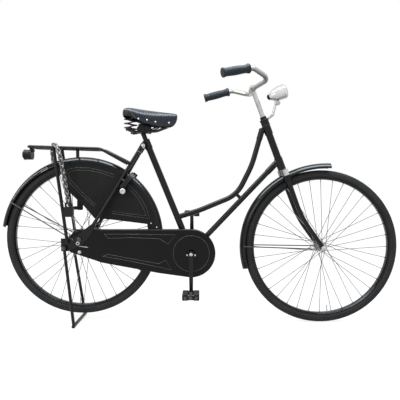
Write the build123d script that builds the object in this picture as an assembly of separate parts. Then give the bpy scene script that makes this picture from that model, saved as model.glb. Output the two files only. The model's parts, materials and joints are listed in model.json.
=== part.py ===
from build123d import *
import os
from math import acos, cos, radians, sin, tan

os.makedirs("parts", exist_ok=True)

# drawn in mm with the rear axle above X 0, forward +X, left +Y, ground Z 0, parked on the stand
middle_x = 543.0  # near the middle of the length, moved to X 0 on saving

# wheels
wheel_radius = 355.0
tyre_half = 20.0
tyre_height = 33.0
tyre_shape = [(0.0, 0.76), (0.27, 0.97), (0.52, 0.98), (0.79, 0.76), (0.94, 0.43), (1.0, 0.0)]  # height, half width
rim_depth = 11.0
rim_half = 16.0
rim_floor_half = 9.0
rim_slope = 5.0
spoke_count = 36
spoke_sides = 6
spoke_radius = 1.2
spoke_cross_deg = 62.0
spoke_rim_y = 4.0
spoke_sunk = 0.6
spoke_inset = 3.5
flange_wall = 3.0
hub_end = 4.0
front_flange_y = 31.0
front_flange_radius = 22.0
front_barrel_radius = 15.0
rear_flange_y = 24.0
rear_flange_radius = 34.0
rear_barrel_radius = 25.0
axle_radius = 4.8
axle_play = 0.08
axle_spare = 4.0
axle_nut_radius = 9.5
axle_nut_width = 8.0

# frame
stand_lift = 41.0
bracket_ahead = 153.0
bracket_below = 25.0
front_centre = 602.0
bracket_radius = 21.0
bracket_half = 36.0
seat_back = 211.2
seat_up = 519.7
seat_tube_radius = 15.0
seat_lug_radius = 17.5
seat_lug_length = 44.0
seat_ear_radius = 10.0
seat_ear_half = 14.0
head_clear = 141.5
head_turn = 115.53
head_angle = 69.5
head_radius = 16.5
head_lug_radius = 19.0
head_lug_high = 42.0
head_lug_low = 59.0
head_up = 119.0
head_down = 97.0
bearing_gap = 1.0
down_tube_radius = 12.7
down_tube_low = 50.5
loop_radius = 12.3
loop_start = 0.311
loop_shape = [(0.092, 0.408), (0.547, 0.562), (0.726, 0.854)]  # ahead, up: shares from bracket to head
loop_bends = [420.0, 150.0, 420.0]
loop_end_back = 17.0
lug_wall = 1.6
loop_lug_length = 60.0
down_lug_length = 78.0
bridge_radius = 8.0
bridge_reach = 12.0

# rear stays and dropouts, places from the rear axle
drop_in = 60.0
drop_wall = 4.0
stay_radius = 8.0
stay_lead = 2.0
chain_stay_radius = 8.5
chain_stay_set = 10.0
chain_stay_end = (26.0, -8.0)
seat_stay_lead = (-15.8, -29.7)
seat_stay_top_y = 29.0
seat_stay_end = (61.0, 61.0)
dropout_shape = [(68, 48), (74, 64), (60, 72), (40, 58), (-8, 18), (-40, 4), (-84, 4), (-83, -54), (-50, -54),
                 (14, -24), (50, 16)]  # ahead, up
stand_pivot_set = (-67.0, -39.0)
brake_arm_y = 44.0
brake_arm_radius = 5.0
brake_plate_radius = 17.0
brake_arm_share = 0.66

# chaincase on the right
case_in = 32.0
case_radius = 110.5
case_low_turn = -96.4
case_floor = [(0.71, 110.0), (0.2, 96.0)]  # share from the axle to the bracket, drop below that line
case_tail = [(-46.0, -60.0), (-52.0, 6.0), (-20.0, 44.5)]  # ahead, up
case_hole_radius = 17.0
case_edge = 7.0

# mudguards and coat guards
guard_clear = 21.0
guard_drop = 24.0
guard_half = 30.0
guard_wall = 1.6
rear_guard_start = -4.0
rear_guard_end = 171.5
rear_stay_turn = 152.5
rear_stay_end = (-24.0, -5.0)
front_guard_clear = 22.5
front_guard_start = 132.0
front_guard_end = 196.2
front_lip_flat = 38.0
front_lip_sweep = 44.5
front_stay_turn = 179.5
front_stay_inset = 18.0
front_stay_end = (-11.0, -6.0)
rear_stay_inset = 10.5
wire_radius = 2.6
coat_wall = 1.5
coat_shape = [(0.968, 0.118), (0.866, 0.118), (0.858, 0.186), (0.377, 0.246), (0.172, 0.262), (0.037, 0.423),
              (-0.037, 0.49), (-0.135, 0.586), (-0.203, 0.777), (-0.225, 0.927)]  # ahead, up: shares of the wheel radius
coat_arc = [101.8, 58.0, 10.4]

# carrier, heights above the rear mudguard
rail_radius = 6.0
rail_half = 60.0
carrier_tail = (-232.0, 45.5)
carrier_bend = (97.0, 35.0)
carrier_bends = [60.0, 24.0, 24.0, 60.0]
carrier_stay_share = 0.215
carrier_stay_back = 8.0
carrier_stay_side = 11.0
slat_radius = 4.0
slat_half = 22.0
cross_bars = [-140.0, -20.0, 80.0]
carrier_foot = (-27.0, -13.0)
carrier_foot_half = 4.0
carrier_foot_sunk = 1.5
strut_ahead = -112.0
strut_end = (-52.0, -18.0)
strut_radius = 7.5
strut_out = 2.0

# tail lamp, places from the rear of the carrier
tail_lamp_drop = 34.5
tail_lamp_front = 2.0
tail_lamp_length = 35.0
tail_lamp_radius = 23.0
tail_arm_half = 7.0
tail_arm_shape = [(-12.0, -22.0), (10.0, -22.0), (10.0, -11.0), (4.0, -3.0), (-8.0, -3.0)]  # ahead, up
tail_lens_radius = 21.0
tail_lens_nose = 15.0
tail_lens_depth = 10.0

# ring lock round the rear tyre
lock_turn = 50.57
lock_inset = 19.7
lock_outer = 60.0
lock_inner = 43.0
lock_wide = 22.0
lock_mouth = 80.0
lock_lug_radius = 6.0

# chain lock on the carrier, places from the rear of the carrier
lock_chain_radius = 5.0
lock_chain_line = [(110.0, -45.0, -67.5), (106.0, -46.0, 7.5), (144.0, -81.0, 7.5), (170.0, -82.0, -127.5),
                   (192.0, -84.0, -259.5)]  # ahead, left, up
lock_chain_bends = [9.0, 9.0, 200.0]
padlock_centre = (192.0, -86.5, -294.5)
padlock_size = (44.0, 19.0, 46.0)
padlock_corner = 10.0
shackle_radius = 4.5
shackle_half = 13.0
shackle_up = 20.0
shackle_bend = 12.0

# cranks and pedals
crank_length = 170.0
crank_in = 76.0
crank_wall = 14.0
crank_axle_radius = 8.0
crank_axle_spare = 3.0
crank_boss_radius = 15.0
crank_eye_radius = 11.0
crank_wide = 11.0
crank_narrow = 8.0
pedal_pin_radius = 4.5
pedal_play = 0.08
pedal_gap = 7.0
pedal_wide = 96.0
pedal_plate = 4.0
pedal_plate_up = 9.0
pedal_cap = 2.0
pedal_tube_radius = 9.0
pedal_half = 36.0
pedal_block_half = 13.0
pedal_block_gap = 11.0
pedal_block_edge = 4.0
pedal_block_lip = 1.0

# stand
stand_play = 1.5
stand_pin_radius = 5.0
stand_pin_play = 0.08
stand_pin_spare = 2.0
stand_eye_radius = 11.0
stand_eye_width = 14.0
stand_leg_radius = 7.0
stand_foot_ahead = -20.0
stand_foot_half = 98.0
stand_foot_spare = 8.0
stand_foot_radius = 8.0

# steering, lengths along the steering line
fork_top = 118.0
blade_top_y = 44.0
blade_low_y = 54.0
blade_top_radius = 13.5
blade_low_radius = 10.0
blade_corner_up = 160.0
blade_bend = 450.0
crown_low = 152.0
crown_radius = 17.0
crown_plate_radius = 20.0
crown_bar_wide = 26.0
tip_in = 50.0
tip_wall = 5.0
tip_radius = 11.0
tip_seat_clear = 1.5
nut_top = 163.0
nut_radius = 19.5
lock_nut_low = 150.0
lock_nut_radius = 15.0
stem_radius = 11.0
stem_top = 299.0
stem_cap = 9.0
clamp_radius = 14.0
clamp_half = 17.0
bar_radius = 11.0
bar_set = 10.0
bar_straight = 32.0
bar_shape = [(33.6, 142.7, 9.2), (-50.8, 185.9, 39.1), (-184.8, 212.5, 5.0)]  # ahead, left, up
bar_bends = [60.0, 50.0, 50.0]
grip_length = 118.0
grip_radius = 18.0
grip_flare = 20.5
grip_flare_length = 14.0
grip_cap = 4.0
lamp_tilt = 22.0
lamp_set = (22.0, 88.5)
lamp_length = 88.0
lamp_radius = 33.0
lamp_round = 60.0
lamp_tail_radius = 7.5
lamp_bulge = (24.0, 24.5)
lens_inset = 3.0
lens_nose = 12.0
lens_depth = 8.0
lamp_arm_start = 142.0
lamp_arm_set = (47.0, 10.0)
lamp_arm_radius = 6.0
lamp_arm_bend = 20.0
lamp_arm_foot = 50.0

# saddle, places from the saddle clamp
post_radius = 11.0
post_length = 52.0
clamp_barrel_radius = 17.0
clamp_barrel_half = 33.0
saddle_wire = 3.6
saddle_rail = [(134.8, 14.0, 16.2), (70.0, 20.0, -7.0), (-22.2, 34.0, -11.8)]  # ahead, half, up
saddle_rail_bends = [30.0, 24.0]
spring_seat = (-46.2, 72.0, -4.8)
spring_cup_radius = 15.0
spring_cup_low = 8.0
spring_cup_high = 4.0
spring_radius = 19.0
spring_wire = 4.0
spring_turns = 5
spring_pitch = 10.5
saddle_shape = [(-79.0, 75.0, 52.0, 77.0, 8.0), (-65.0, 99.0, 50.0, 102.0, 16.0), (-30.0, 104.0, 48.0, 97.0, 22.0),
                (9.0, 86.0, 24.0, 92.0, 28.0), (73.0, 41.0, 11.0, 83.5, 24.0), (123.0, 27.0, 9.0, 78.0, 18.0),
                (151.0, 22.0, 16.0, 74.5, 15.0), (167.0, 12.0, 47.0, 71.0, 8.0)]  # ahead, half, low, top, crown

rim_top = wheel_radius - tyre_height
rim_low = rim_top - rim_depth
guard_radius = wheel_radius + guard_clear
front_guard_radius = wheel_radius + front_guard_clear
drop_out = drop_in + drop_wall
tip_out = tip_in + tip_wall
crank_out = crank_in + crank_wall
pedal_inner = crank_out + pedal_gap
pedal_outer = pedal_inner + pedal_wide
strut_half = drop_out + strut_radius


def off(place, ahead, up):
    return (place[0] + ahead, place[1] + up)


def polar(centre, radius, turn):
    return off(centre, radius * cos(radians(turn)), radius * sin(radians(turn)))


def part_way(start, end, share):
    return off(start, (end[0] - start[0]) * share, (end[1] - start[1]) * share)


def at(place, y=0.0):
    return Vector(place[0], y, place[1])


def rod(start, end, radius):
    line = end - start
    return Solid.make_cylinder(radius, line.length, Plane(origin=start, z_dir=line))


def cone(start, end, start_radius, end_radius):
    line = end - start
    return Solid.make_cone(start_radius, end_radius, line.length, Plane(origin=start, z_dir=line))


def barrel(place, radius, y0, y1):
    return rod(at(place, y0), at(place, y1), radius)


def slab(corners, y0, y1):
    outline = Wire.make_polygon([at(corner, y0) for corner in corners], close=True)
    return Solid.extrude(Face(outline), Vector(0, y1 - y0, 0))


def bent_line(points, bends):
    edges = []
    here = points[0]
    for corner, after, bend in zip(points[1:-1], points[2:], bends):
        into = (corner - here).normalized()
        away = (after - corner).normalized()
        half_turn = acos(max(-1.0, min(1.0, into.dot(away)))) / 2
        reach = bend * tan(half_turn)
        start = corner - into * reach
        end = corner + away * reach
        inward = (away - into).normalized()
        middle = corner + inward * (bend / cos(half_turn) - bend)
        edges.append(Edge.make_line(here, start))
        edges.append(Edge.make_three_point_arc(start, middle, end))
        here = end
    edges.append(Edge.make_line(here, points[-1]))
    return edges


def pipe(points, radius, bends):
    section = Wire.make_circle(radius, Plane(origin=points[0], z_dir=points[1] - points[0]))
    return Solid.sweep(Face(section), Wire(bent_line(points, bends)))


def turned(profile, centre, start, sweep):
    spin = Axis(at(centre), (0, -1, 0))
    return Solid.revolve(profile.rotate(spin, start), sweep, spin)


def edge_chain(spans):
    made = []
    for span in spans:
        if len(span) == 2:
            made.append(Edge.make_line(span[0], span[1]))
        else:
            made.append(Edge.make_three_point_arc(span[0], span[1], span[2]))
    return Face(Wire(made))


def ring_face(centre, spans):
    placed = []
    for span in spans:
        placed.append([Vector(centre[0] + radius, y, centre[1]) for radius, y in span])
    return edge_chain(placed)


def closed_spans(corners):
    return [[start, end] for start, end in zip(corners, corners[1:] + corners[:1])]


def lathe(start, line, spans):
    across = (Vector(0, 1, 0) - line * line.Y).normalized()
    placed = []
    for span in spans:
        placed.append([start + line * along + across * radius for along, radius in span])
    return Solid.revolve(edge_chain(placed), 360.0, Axis(start, line))


def without(shape, *others):
    for other in others:
        shape = shape - other
    return shape


def main_solid(shape):
    return max(shape.solids(), key=lambda solid: solid.volume)


def mirrored(shape):
    return shape.mirror(Plane.XZ)


def save(name, *solids):
    found = []
    for solid in solids:
        found.extend(solid.solids())
    whole = found[0] if len(found) == 1 else Compound(children=found)
    export_step(whole.moved(Location((-middle_x, 0, 0))), "parts/" + name + ".step")


rear_axle = (0.0, wheel_radius + stand_lift)
bracket = (wheel_radius + bracket_ahead, wheel_radius - bracket_below)
front_axle = (bracket[0] + front_centre, wheel_radius)
seat_top = off(bracket, -seat_back, seat_up)
head_point = polar(front_axle, wheel_radius + head_clear, head_turn)
steer_down = Vector(cos(radians(head_angle)), 0, -sin(radians(head_angle)))
steer_ahead = Vector(sin(radians(head_angle)), 0, cos(radians(head_angle)))
steer_axis = Axis(at(head_point), steer_down * -1)


def on_steer(along, y=0.0):
    return at(head_point, y) + steer_down * along


def toward_head(ahead, up):
    return off(bracket, (head_point[0] - bracket[0]) * ahead, (head_point[1] - bracket[1]) * up)


# bottom bracket, seat tube with its lug, head tube with its two lugs
bracket_shell = barrel(bracket, bracket_radius, -case_in, bracket_half)
seat_line = (at(seat_top) - at(bracket)).normalized()
seat_tube = rod(at(bracket), at(seat_top), seat_tube_radius)
seat_tube = seat_tube + rod(at(seat_top) - seat_line * seat_lug_length, at(seat_top), seat_lug_radius)
stay_top = off(seat_top, *seat_stay_lead)
ear_root = at(bracket) + seat_line * (at(stay_top) - at(bracket)).dot(seat_line)
seat_tube = seat_tube + barrel(stay_top, seat_ear_radius, -seat_ear_half, seat_ear_half)
seat_tube = seat_tube + rod(at(stay_top), ear_root, seat_ear_radius)
seat_tube = without(seat_tube, bracket_shell)
head_tube = rod(on_steer(-head_up), on_steer(head_down), head_radius)
head_tube = head_tube + rod(on_steer(-head_up), on_steer(head_lug_high - head_up), head_lug_radius)
head_tube = head_tube + rod(on_steer(head_down - head_lug_low), on_steer(head_down), head_lug_radius)

# looped upper tube and straight lower tube with the short tube between them
loop_corners = [toward_head(ahead, up) for ahead, up in loop_shape]
loop_points = [at(part_way(bracket, seat_top, loop_start))] + [at(corner) for corner in loop_corners]
loop_points.append(on_steer(-head_up) - steer_ahead * loop_end_back)
loop_tube = pipe(loop_points, loop_radius, loop_bends)
loop_end_line = (loop_points[-1] - loop_points[-2]).normalized()
loop_tube = loop_tube + rod(loop_points[-1] - loop_end_line * loop_lug_length, loop_points[-1], loop_radius + lug_wall)
head_above = rod(on_steer(bearing_gap - head_up), on_steer(-2 * head_up), 2 * head_radius)
loop_tube = main_solid(without(loop_tube, seat_tube, head_tube, head_above))
down_end = on_steer(down_tube_low)
down_line = (down_end - at(bracket)).normalized()
down_tube = rod(at(bracket), down_end, down_tube_radius)
down_tube = down_tube + rod(down_end - down_line * down_lug_length, down_end, down_tube_radius + lug_wall)
bridge_top = at(loop_corners[1])
bridge_foot = at(bracket) + down_line * (bridge_top - at(bracket)).dot(down_line)
bridge_top = bridge_top + (bridge_top - bridge_foot).normalized() * bridge_reach
down_tube = down_tube + rod(bridge_top, bridge_foot, bridge_radius)
down_tube = main_solid(without(down_tube, bracket_shell, head_tube, loop_tube, seat_tube))

# seat stays with the dropouts and stand pins, left chain stay
stay_low = off(rear_axle, *seat_stay_end)
stay_low_y = drop_in + stay_lead
stand_pivot = off(rear_axle, *stand_pivot_set)
dropout = slab([off(rear_axle, ahead, up) for ahead, up in dropout_shape], drop_in, drop_out)
seat_stay_left = rod(at(stay_top, seat_stay_top_y), at(stay_low, stay_low_y), stay_radius) + dropout
seat_stay_left = seat_stay_left + barrel(stay_top, stay_radius, seat_ear_half, seat_stay_top_y)
seat_stay_left = without(seat_stay_left, seat_tube)
stand_eye_in = drop_out + stand_play
stand_pin_end = stand_eye_in + stand_eye_width + stand_pin_spare
seat_stay_left = seat_stay_left + barrel(stand_pivot, stand_pin_radius, drop_out, stand_pin_end)
axle_hole = barrel(rear_axle, axle_radius, -drop_out * 2, drop_out * 2)
seat_stay_left = without(seat_stay_left, axle_hole)
seat_stay_right = mirrored(seat_stay_left)
chain_stay_low = at(off(rear_axle, *chain_stay_end), drop_in - drop_wall)
chain_stay_high = at(bracket, bracket_half - chain_stay_set)
chain_stay_line = chain_stay_low - chain_stay_high
chain_stay_start = chain_stay_high + chain_stay_line.normalized() * (bracket_radius - chain_stay_radius)
chain_stay_left = rod(chain_stay_start, chain_stay_low, chain_stay_radius)
chain_stay_left = without(chain_stay_left, bracket_shell, seat_stay_left, seat_tube)

# chaincase: one round front, a tapered tail, rounded outer edge
case_top = off(bracket, 0.0, case_radius)
case_front = off(bracket, case_radius, 0.0)
case_low = polar(bracket, case_radius, case_low_turn)
case_corners = [case_low]
for share, drop in case_floor:
    case_corners.append(off(part_way(rear_axle, bracket, share), 0.0, -drop))
for ahead, up in case_tail:
    case_corners.append(off(rear_axle, ahead, up))
case_corners.append(case_top)
case_spans = [[at(case_top, -case_in), at(case_front, -case_in), at(case_low, -case_in)]]
for start, end in zip(case_corners[:-1], case_corners[1:]):
    case_spans.append([at(start, -case_in), at(end, -case_in)])
chaincase = Solid.extrude(edge_chain(case_spans), Vector(0, case_in - drop_in, 0))
chaincase = chaincase.fillet(case_edge, chaincase.faces().sort_by(Axis.Y)[0].edges())
chaincase = without(chaincase, barrel(bracket, case_hole_radius, -drop_in, -case_in), axle_hole)

# rear axle with its nuts and the brake arm on the left
axle_end = drop_out + axle_nut_width + axle_spare
rear_axle_rod = barrel(rear_axle, axle_radius, -axle_end, axle_end)
for side in (-1, 1):
    nut_end = drop_out + axle_nut_width
    rear_axle_rod = rear_axle_rod + barrel(rear_axle, axle_nut_radius, side * drop_out, side * nut_end)
arm_end = chain_stay_high + chain_stay_line * brake_arm_share
brake_arm = rod(at(rear_axle, brake_arm_y), Vector(arm_end.X, brake_arm_y, arm_end.Z), brake_arm_radius)
brake_arm = brake_arm + barrel(rear_axle, brake_plate_radius, brake_arm_y - brake_arm_radius,
                               brake_arm_y + brake_arm_radius)
rear_axle_rod = without(rear_axle_rod + brake_arm, chain_stay_left)


def guard_face(centre, radius):
    low = radius - guard_drop
    thin = guard_half - guard_wall
    outer = [(low, -guard_half), (radius, 0.0), (low, guard_half)]
    inner = [(low, thin), (radius - guard_wall, 0.0), (low, -thin)]
    return ring_face(centre, [outer, [outer[2], inner[0]], inner, [inner[2], outer[0]]])


# rear mudguard
rear_mudguard = turned(guard_face(rear_axle, guard_radius), rear_axle, rear_guard_start,
                       rear_guard_end - rear_guard_start)
rear_mudguard = without(rear_mudguard, seat_tube, seat_stay_left, seat_stay_right)
rear_guard_stay = rod(at(polar(rear_axle, guard_radius - rear_stay_inset, rear_stay_turn), guard_half + wire_radius),
                      at(off(rear_axle, *rear_stay_end), drop_out + wire_radius), wire_radius)

# coat guards beside the rear wheel
coat_y = guard_half - guard_wall - coat_wall
coat_corners = [off(rear_axle, ahead * wheel_radius, up * wheel_radius) for ahead, up in coat_shape]
coat_round = [polar(rear_axle, guard_radius - guard_drop, turn) for turn in coat_arc]
coat_line = [coat_round[2]] + coat_corners + [coat_round[0]]
coat_spans = [[at(start, coat_y), at(end, coat_y)] for start, end in zip(coat_line[:-1], coat_line[1:])]
coat_spans.append([at(spot, coat_y) for spot in coat_round])
coat_guard_left = Solid.extrude(edge_chain(coat_spans), Vector(0, coat_wall, 0))
coat_guard_left = without(coat_guard_left, rear_mudguard)

# carrier: one bent outer rail, long slats, cross bars, one bracket to the mudguard
guard_top = rear_axle[1] + guard_radius
carrier_rear = (carrier_tail[0], guard_top + carrier_tail[1])
carrier_knee = (carrier_bend[0], guard_top + carrier_bend[1])
carrier_front = off(part_way(stay_top, stay_low, carrier_stay_share), -carrier_stay_back, 0.0)
carrier_front_half = seat_stay_top_y + (stay_low_y - seat_stay_top_y) * carrier_stay_share + carrier_stay_side
outer_rail = [at(carrier_front, -carrier_front_half), at(carrier_knee, -rail_half), at(carrier_rear, -rail_half),
              at(carrier_rear, rail_half), at(carrier_knee, rail_half), at(carrier_front, carrier_front_half)]
carrier = pipe(outer_rail, rail_radius, carrier_bends)


def on_rail(ahead):
    return part_way(carrier_rear, carrier_knee, (ahead - carrier_rear[0]) / (carrier_knee[0] - carrier_rear[0]))


for ahead in cross_bars:
    carrier = carrier + barrel(on_rail(ahead), slat_radius, -rail_half, rail_half)
for side in (-1, 1):
    carrier = carrier + rod(at(carrier_rear, side * slat_half), at(on_rail(cross_bars[-1]), side * slat_half),
                            slat_radius)
foot_low = guard_top - carrier_foot_sunk
foot_high = on_rail(cross_bars[1])[1]
carrier = carrier + slab([(carrier_foot[0], foot_low), (carrier_foot[1], foot_low), (carrier_foot[1], foot_high),
                          (carrier_foot[0], foot_high)], -carrier_foot_half, carrier_foot_half)
carrier = without(carrier, seat_stay_left, seat_stay_right, rear_mudguard)
carrier_strut = rod(at(on_rail(strut_ahead), rail_half + strut_out), at(off(rear_axle, *strut_end), strut_half),
                    strut_radius)
carrier_strut_left = without(carrier_strut, carrier, seat_stay_left)
carrier_strut_right = without(mirrored(carrier_strut), carrier, seat_stay_right)
rear_stay_left = without(rear_guard_stay, rear_mudguard, carrier_strut_left, seat_stay_left)
rear_stay_right = without(mirrored(rear_guard_stay), rear_mudguard, carrier_strut_right, seat_stay_right)

# tail lamp behind the carrier
tail_front = at(off(carrier_rear, tail_lamp_front, -tail_lamp_drop))
tail_back = tail_front - Vector(tail_lamp_length, 0, 0)
tail_lamp = rod(tail_back, tail_front, tail_lamp_radius)
tail_lamp = tail_lamp + slab([off(carrier_rear, ahead, up) for ahead, up in tail_arm_shape], -tail_arm_half,
                             tail_arm_half)
tail_lamp = without(tail_lamp, carrier)
tail_lens = cone(tail_back, tail_back - Vector(tail_lens_depth, 0, 0), tail_lens_radius, tail_lens_nose)

# ring lock arms beside the rear tyre, held by two lugs on the seat stays
lock_place = polar(rear_axle, wheel_radius - lock_inset, lock_turn)
lock_out = Vector(cos(radians(lock_turn)), 0, sin(radians(lock_turn)))
lock_plane = Plane(origin=at(lock_place), x_dir=(0, 1, 0), z_dir=Vector(0, 1, 0).cross(lock_out))
ring_lock = Solid.make_cylinder(lock_outer, lock_wide, lock_plane.offset(-lock_wide / 2))
ring_lock = ring_lock - Solid.make_cylinder(lock_inner, 2 * lock_wide, lock_plane.offset(-lock_wide))
mouth_place = Pos(-lock_mouth / 2, -lock_inset + tyre_half - lock_mouth - (lock_outer - lock_inner) / 2, 0)
ring_lock = ring_lock - Solid.make_box(lock_mouth, lock_mouth, 2 * lock_wide,
                                       Plane(lock_plane.offset(-lock_wide) * mouth_place))
stay_start = at(stay_top, seat_stay_top_y)
stay_line = (at(stay_low, stay_low_y) - stay_start).normalized()
lug_start = at(lock_place, (lock_outer + lock_inner) / 2)
lug_end = stay_start + stay_line * (lug_start - stay_start).dot(stay_line)
lock_lug = rod(lug_start, lug_end, lock_lug_radius)
ring_lock = ring_lock + lock_lug + mirrored(lock_lug)
lock_crest = barrel(rear_axle, guard_radius + lock_outer, -guard_half, guard_half)
ring_lock = without(ring_lock, lock_crest, rear_mudguard, seat_stay_left, seat_stay_right)

# chain lock over the carrier rail with its padlock
carrier_datum = at(carrier_rear)
lock_points = [carrier_datum + Vector(*spot) for spot in lock_chain_line]
lock_chain = pipe(lock_points, lock_chain_radius, lock_chain_bends)
padlock_spot = carrier_datum + Vector(*padlock_centre)
padlock = Solid.make_box(*padlock_size, Plane(padlock_spot - Vector(*padlock_size) / 2))
padlock = padlock.fillet(padlock_corner, padlock.edges().filter_by(Axis.Y))
shackle_low = padlock_spot + Vector(0, 0, padlock_size[2] / 2)
shackle_points = [shackle_low - Vector(shackle_half, 0, 0), shackle_low + Vector(-shackle_half, 0, shackle_up),
                  shackle_low + Vector(shackle_half, 0, shackle_up), shackle_low + Vector(shackle_half, 0, 0)]
padlock = padlock + pipe(shackle_points, shackle_radius, [shackle_bend, shackle_bend])
lock_chain = main_solid(without(lock_chain, carrier, carrier_strut_right, padlock))

# seat post, saddle frame with its rails and spring cups
post_end = at(seat_top) + seat_line * post_length
saddle_clamp = (post_end.X, post_end.Z)
seat_post = rod(at(seat_top), post_end, post_radius)
saddle_frame = barrel(saddle_clamp, clamp_barrel_radius, -clamp_barrel_half, clamp_barrel_half)
spring_low = post_end + Vector(*spring_seat)
for side in (-1, 1):
    seat = Vector(spring_low.X, side * spring_low.Y, spring_low.Z)
    rail_points = [post_end + Vector(ahead, side * half, up) for ahead, half, up in saddle_rail] + [seat]
    saddle_frame = saddle_frame + pipe(rail_points, saddle_wire, saddle_rail_bends)
    saddle_frame = saddle_frame + rod(seat - Vector(0, 0, spring_cup_low), seat + Vector(0, 0, spring_cup_high),
                                      spring_cup_radius)
back_bar = rod(Vector(spring_low.X, -spring_low.Y, spring_low.Z), spring_low, saddle_wire)
saddle_frame = without(saddle_frame + back_bar, seat_post)

# saddle cover: sections across the saddle, each with an upright skirt and a crowned top
saddle_sections = []
for ahead, half, low, top, crown in saddle_shape:
    corners = [post_end + Vector(ahead, y, z) for y, z in ((-half, low), (-half, top - crown), (0.0, top),
                                                           (half, top - crown), (half, low))]
    saddle_sections.append(Wire([Edge.make_line(corners[0], corners[1]),
                                 Edge.make_three_point_arc(corners[1], corners[2], corners[3]),
                                 Edge.make_line(corners[3], corners[4]), Edge.make_line(corners[4], corners[0])]))
saddle_cover = Solid.make_loft(saddle_sections, ruled=True)

# saddle springs: stacked turns between the cups and the cover
spring_start = spring_low + Vector(0, 0, spring_cup_high)
spring_length = spring_turns * spring_pitch
spring_core = spring_radius - spring_wire
spring_spans = [[(0.0, 0.0), (0.0, spring_core)]]
for turn in range(spring_turns):
    low = turn * spring_pitch
    spring_spans.append([(low, spring_core), (low + spring_pitch / 2, spring_radius), (low + spring_pitch, spring_core)])
spring_spans.append([(spring_length, spring_core), (spring_length, 0.0)])
spring_spans.append([(spring_length, 0.0), (0.0, 0.0)])
saddle_spring = without(lathe(spring_start, Vector(0, 0, 1), spring_spans), saddle_cover)
saddle_springs = [saddle_spring, mirrored(saddle_spring)]
saddle_frame = without(saddle_frame, saddle_cover)

# fork: tapered blades that bend forward to the tips, crown, two-step headset nut
axle_along = (at(front_axle) - at(head_point)).dot(steer_down)
blade_points = [on_steer(fork_top, blade_top_y), on_steer(axle_along - blade_corner_up, blade_low_y),
                at(front_axle, blade_low_y)]
blade_edges = bent_line(blade_points, [blade_bend])
blade_start = blade_edges[0].position_at(1)
blade_line = (blade_points[1] - blade_points[0]).normalized()
blade = cone(blade_points[0], blade_start, blade_top_radius, blade_low_radius)
blade_section = Wire.make_circle(blade_low_radius, Plane(origin=blade_start, z_dir=blade_line))
blade = blade + Solid.sweep(Face(blade_section), Wire(blade_edges[1:]))
blade = blade + barrel(front_axle, tip_radius, tip_in, tip_out)
blade = blade - barrel(front_axle, tip_radius + tip_seat_clear, tip_out, 2 * tip_out)
crown_top = head_down + bearing_gap
crown = rod(on_steer(crown_top), on_steer(fork_top), crown_plate_radius)
crown_plane = Plane(origin=on_steer(crown_top), x_dir=(0, 1, 0), z_dir=steer_down)
crown = crown + Solid.make_box(2 * blade_top_y, crown_bar_wide, fork_top - crown_top,
                               Plane(crown_plane * Pos(-blade_top_y, -crown_bar_wide / 2, 0)))
crown_sleeve = rod(on_steer(crown_top, blade_top_y), on_steer(crown_low, blade_top_y), crown_radius)
crown = crown + crown_sleeve + mirrored(crown_sleeve)
front_axle_hole = barrel(front_axle, axle_radius, -2 * tip_out, 2 * tip_out)
fork = [without(blade, front_axle_hole, crown), without(mirrored(blade), front_axle_hole, crown)]
headset_nut = rod(on_steer(-head_up - bearing_gap), on_steer(-lock_nut_low), nut_radius)
headset_nut = headset_nut + rod(on_steer(-lock_nut_low), on_steer(-nut_top), lock_nut_radius)

# front mudguard with its lifted lip and its wire stays, front axle with its nuts
front_mudguard = turned(guard_face(front_axle, front_guard_radius), front_axle, front_guard_start,
                        front_guard_end - front_guard_start)
front_lip_radius = front_guard_radius + front_lip_flat
lip_centre = polar(front_axle, -front_lip_flat, front_guard_start)
front_lip = turned(guard_face(lip_centre, front_lip_radius), lip_centre, front_guard_start - front_lip_sweep,
                   front_lip_sweep)
front_mudguard = without(front_mudguard + front_lip, crown, fork[0], fork[1])
front_stay_high = polar(front_axle, front_guard_radius - front_stay_inset, front_stay_turn)
front_guard_stay = rod(at(front_stay_high, guard_half + wire_radius),
                       at(off(front_axle, *front_stay_end), tip_out + wire_radius), wire_radius)
front_guard_stays = [without(front_guard_stay, front_mudguard, fork[0]),
                     without(mirrored(front_guard_stay), front_mudguard, fork[1])]
front_axle_end = tip_out + axle_nut_width + axle_spare
front_axle_rod = barrel(front_axle, axle_radius, -front_axle_end, front_axle_end)
for side in (-1, 1):
    nut_end = tip_out + axle_nut_width
    front_axle_rod = front_axle_rod + barrel(front_axle, axle_nut_radius, side * tip_out, side * nut_end)
front_axle_rod = without(front_axle_rod, front_guard_stays[0], front_guard_stays[1])

# stem, handlebar set slightly to the left, grips
stem_end = on_steer(-stem_top)
stem = rod(on_steer(-nut_top), on_steer(-stem_top - stem_cap), stem_radius)
stem = stem + Solid.make_sphere(stem_radius, Plane(on_steer(-stem_top - stem_cap)))
stem_clamp = rod(stem_end - Vector(0, clamp_half, 0), stem_end + Vector(0, clamp_half, 0), clamp_radius)
bar_side = [stem_end + Vector(0, bar_straight, 0)] + [stem_end + Vector(*spot) for spot in bar_shape]
bar_other = [Vector(spot.X, -spot.Y, spot.Z) for spot in reversed(bar_side)]
handlebar = pipe(bar_other + bar_side, bar_radius, bar_bends[::-1] + bar_bends)
handlebar = handlebar.rotate(steer_axis, bar_set)
stem = without(stem + stem_clamp.rotate(steer_axis, bar_set), handlebar)
grip_line = (bar_side[3] - bar_side[2]).normalized()
grip_profile = [(0.0, bar_radius), (0.0, grip_flare), (grip_flare_length, grip_radius),
                (grip_length - grip_flare_length, grip_radius), (grip_length + grip_cap, grip_flare),
                (grip_length + grip_cap, 0.0), (grip_length, 0.0), (grip_length, bar_radius)]
grip = lathe(bar_side[3] - grip_line * grip_length, grip_line, closed_spans(grip_profile))
grips = [side.rotate(steer_axis, bar_set) for side in (grip, mirrored(grip))]

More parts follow.
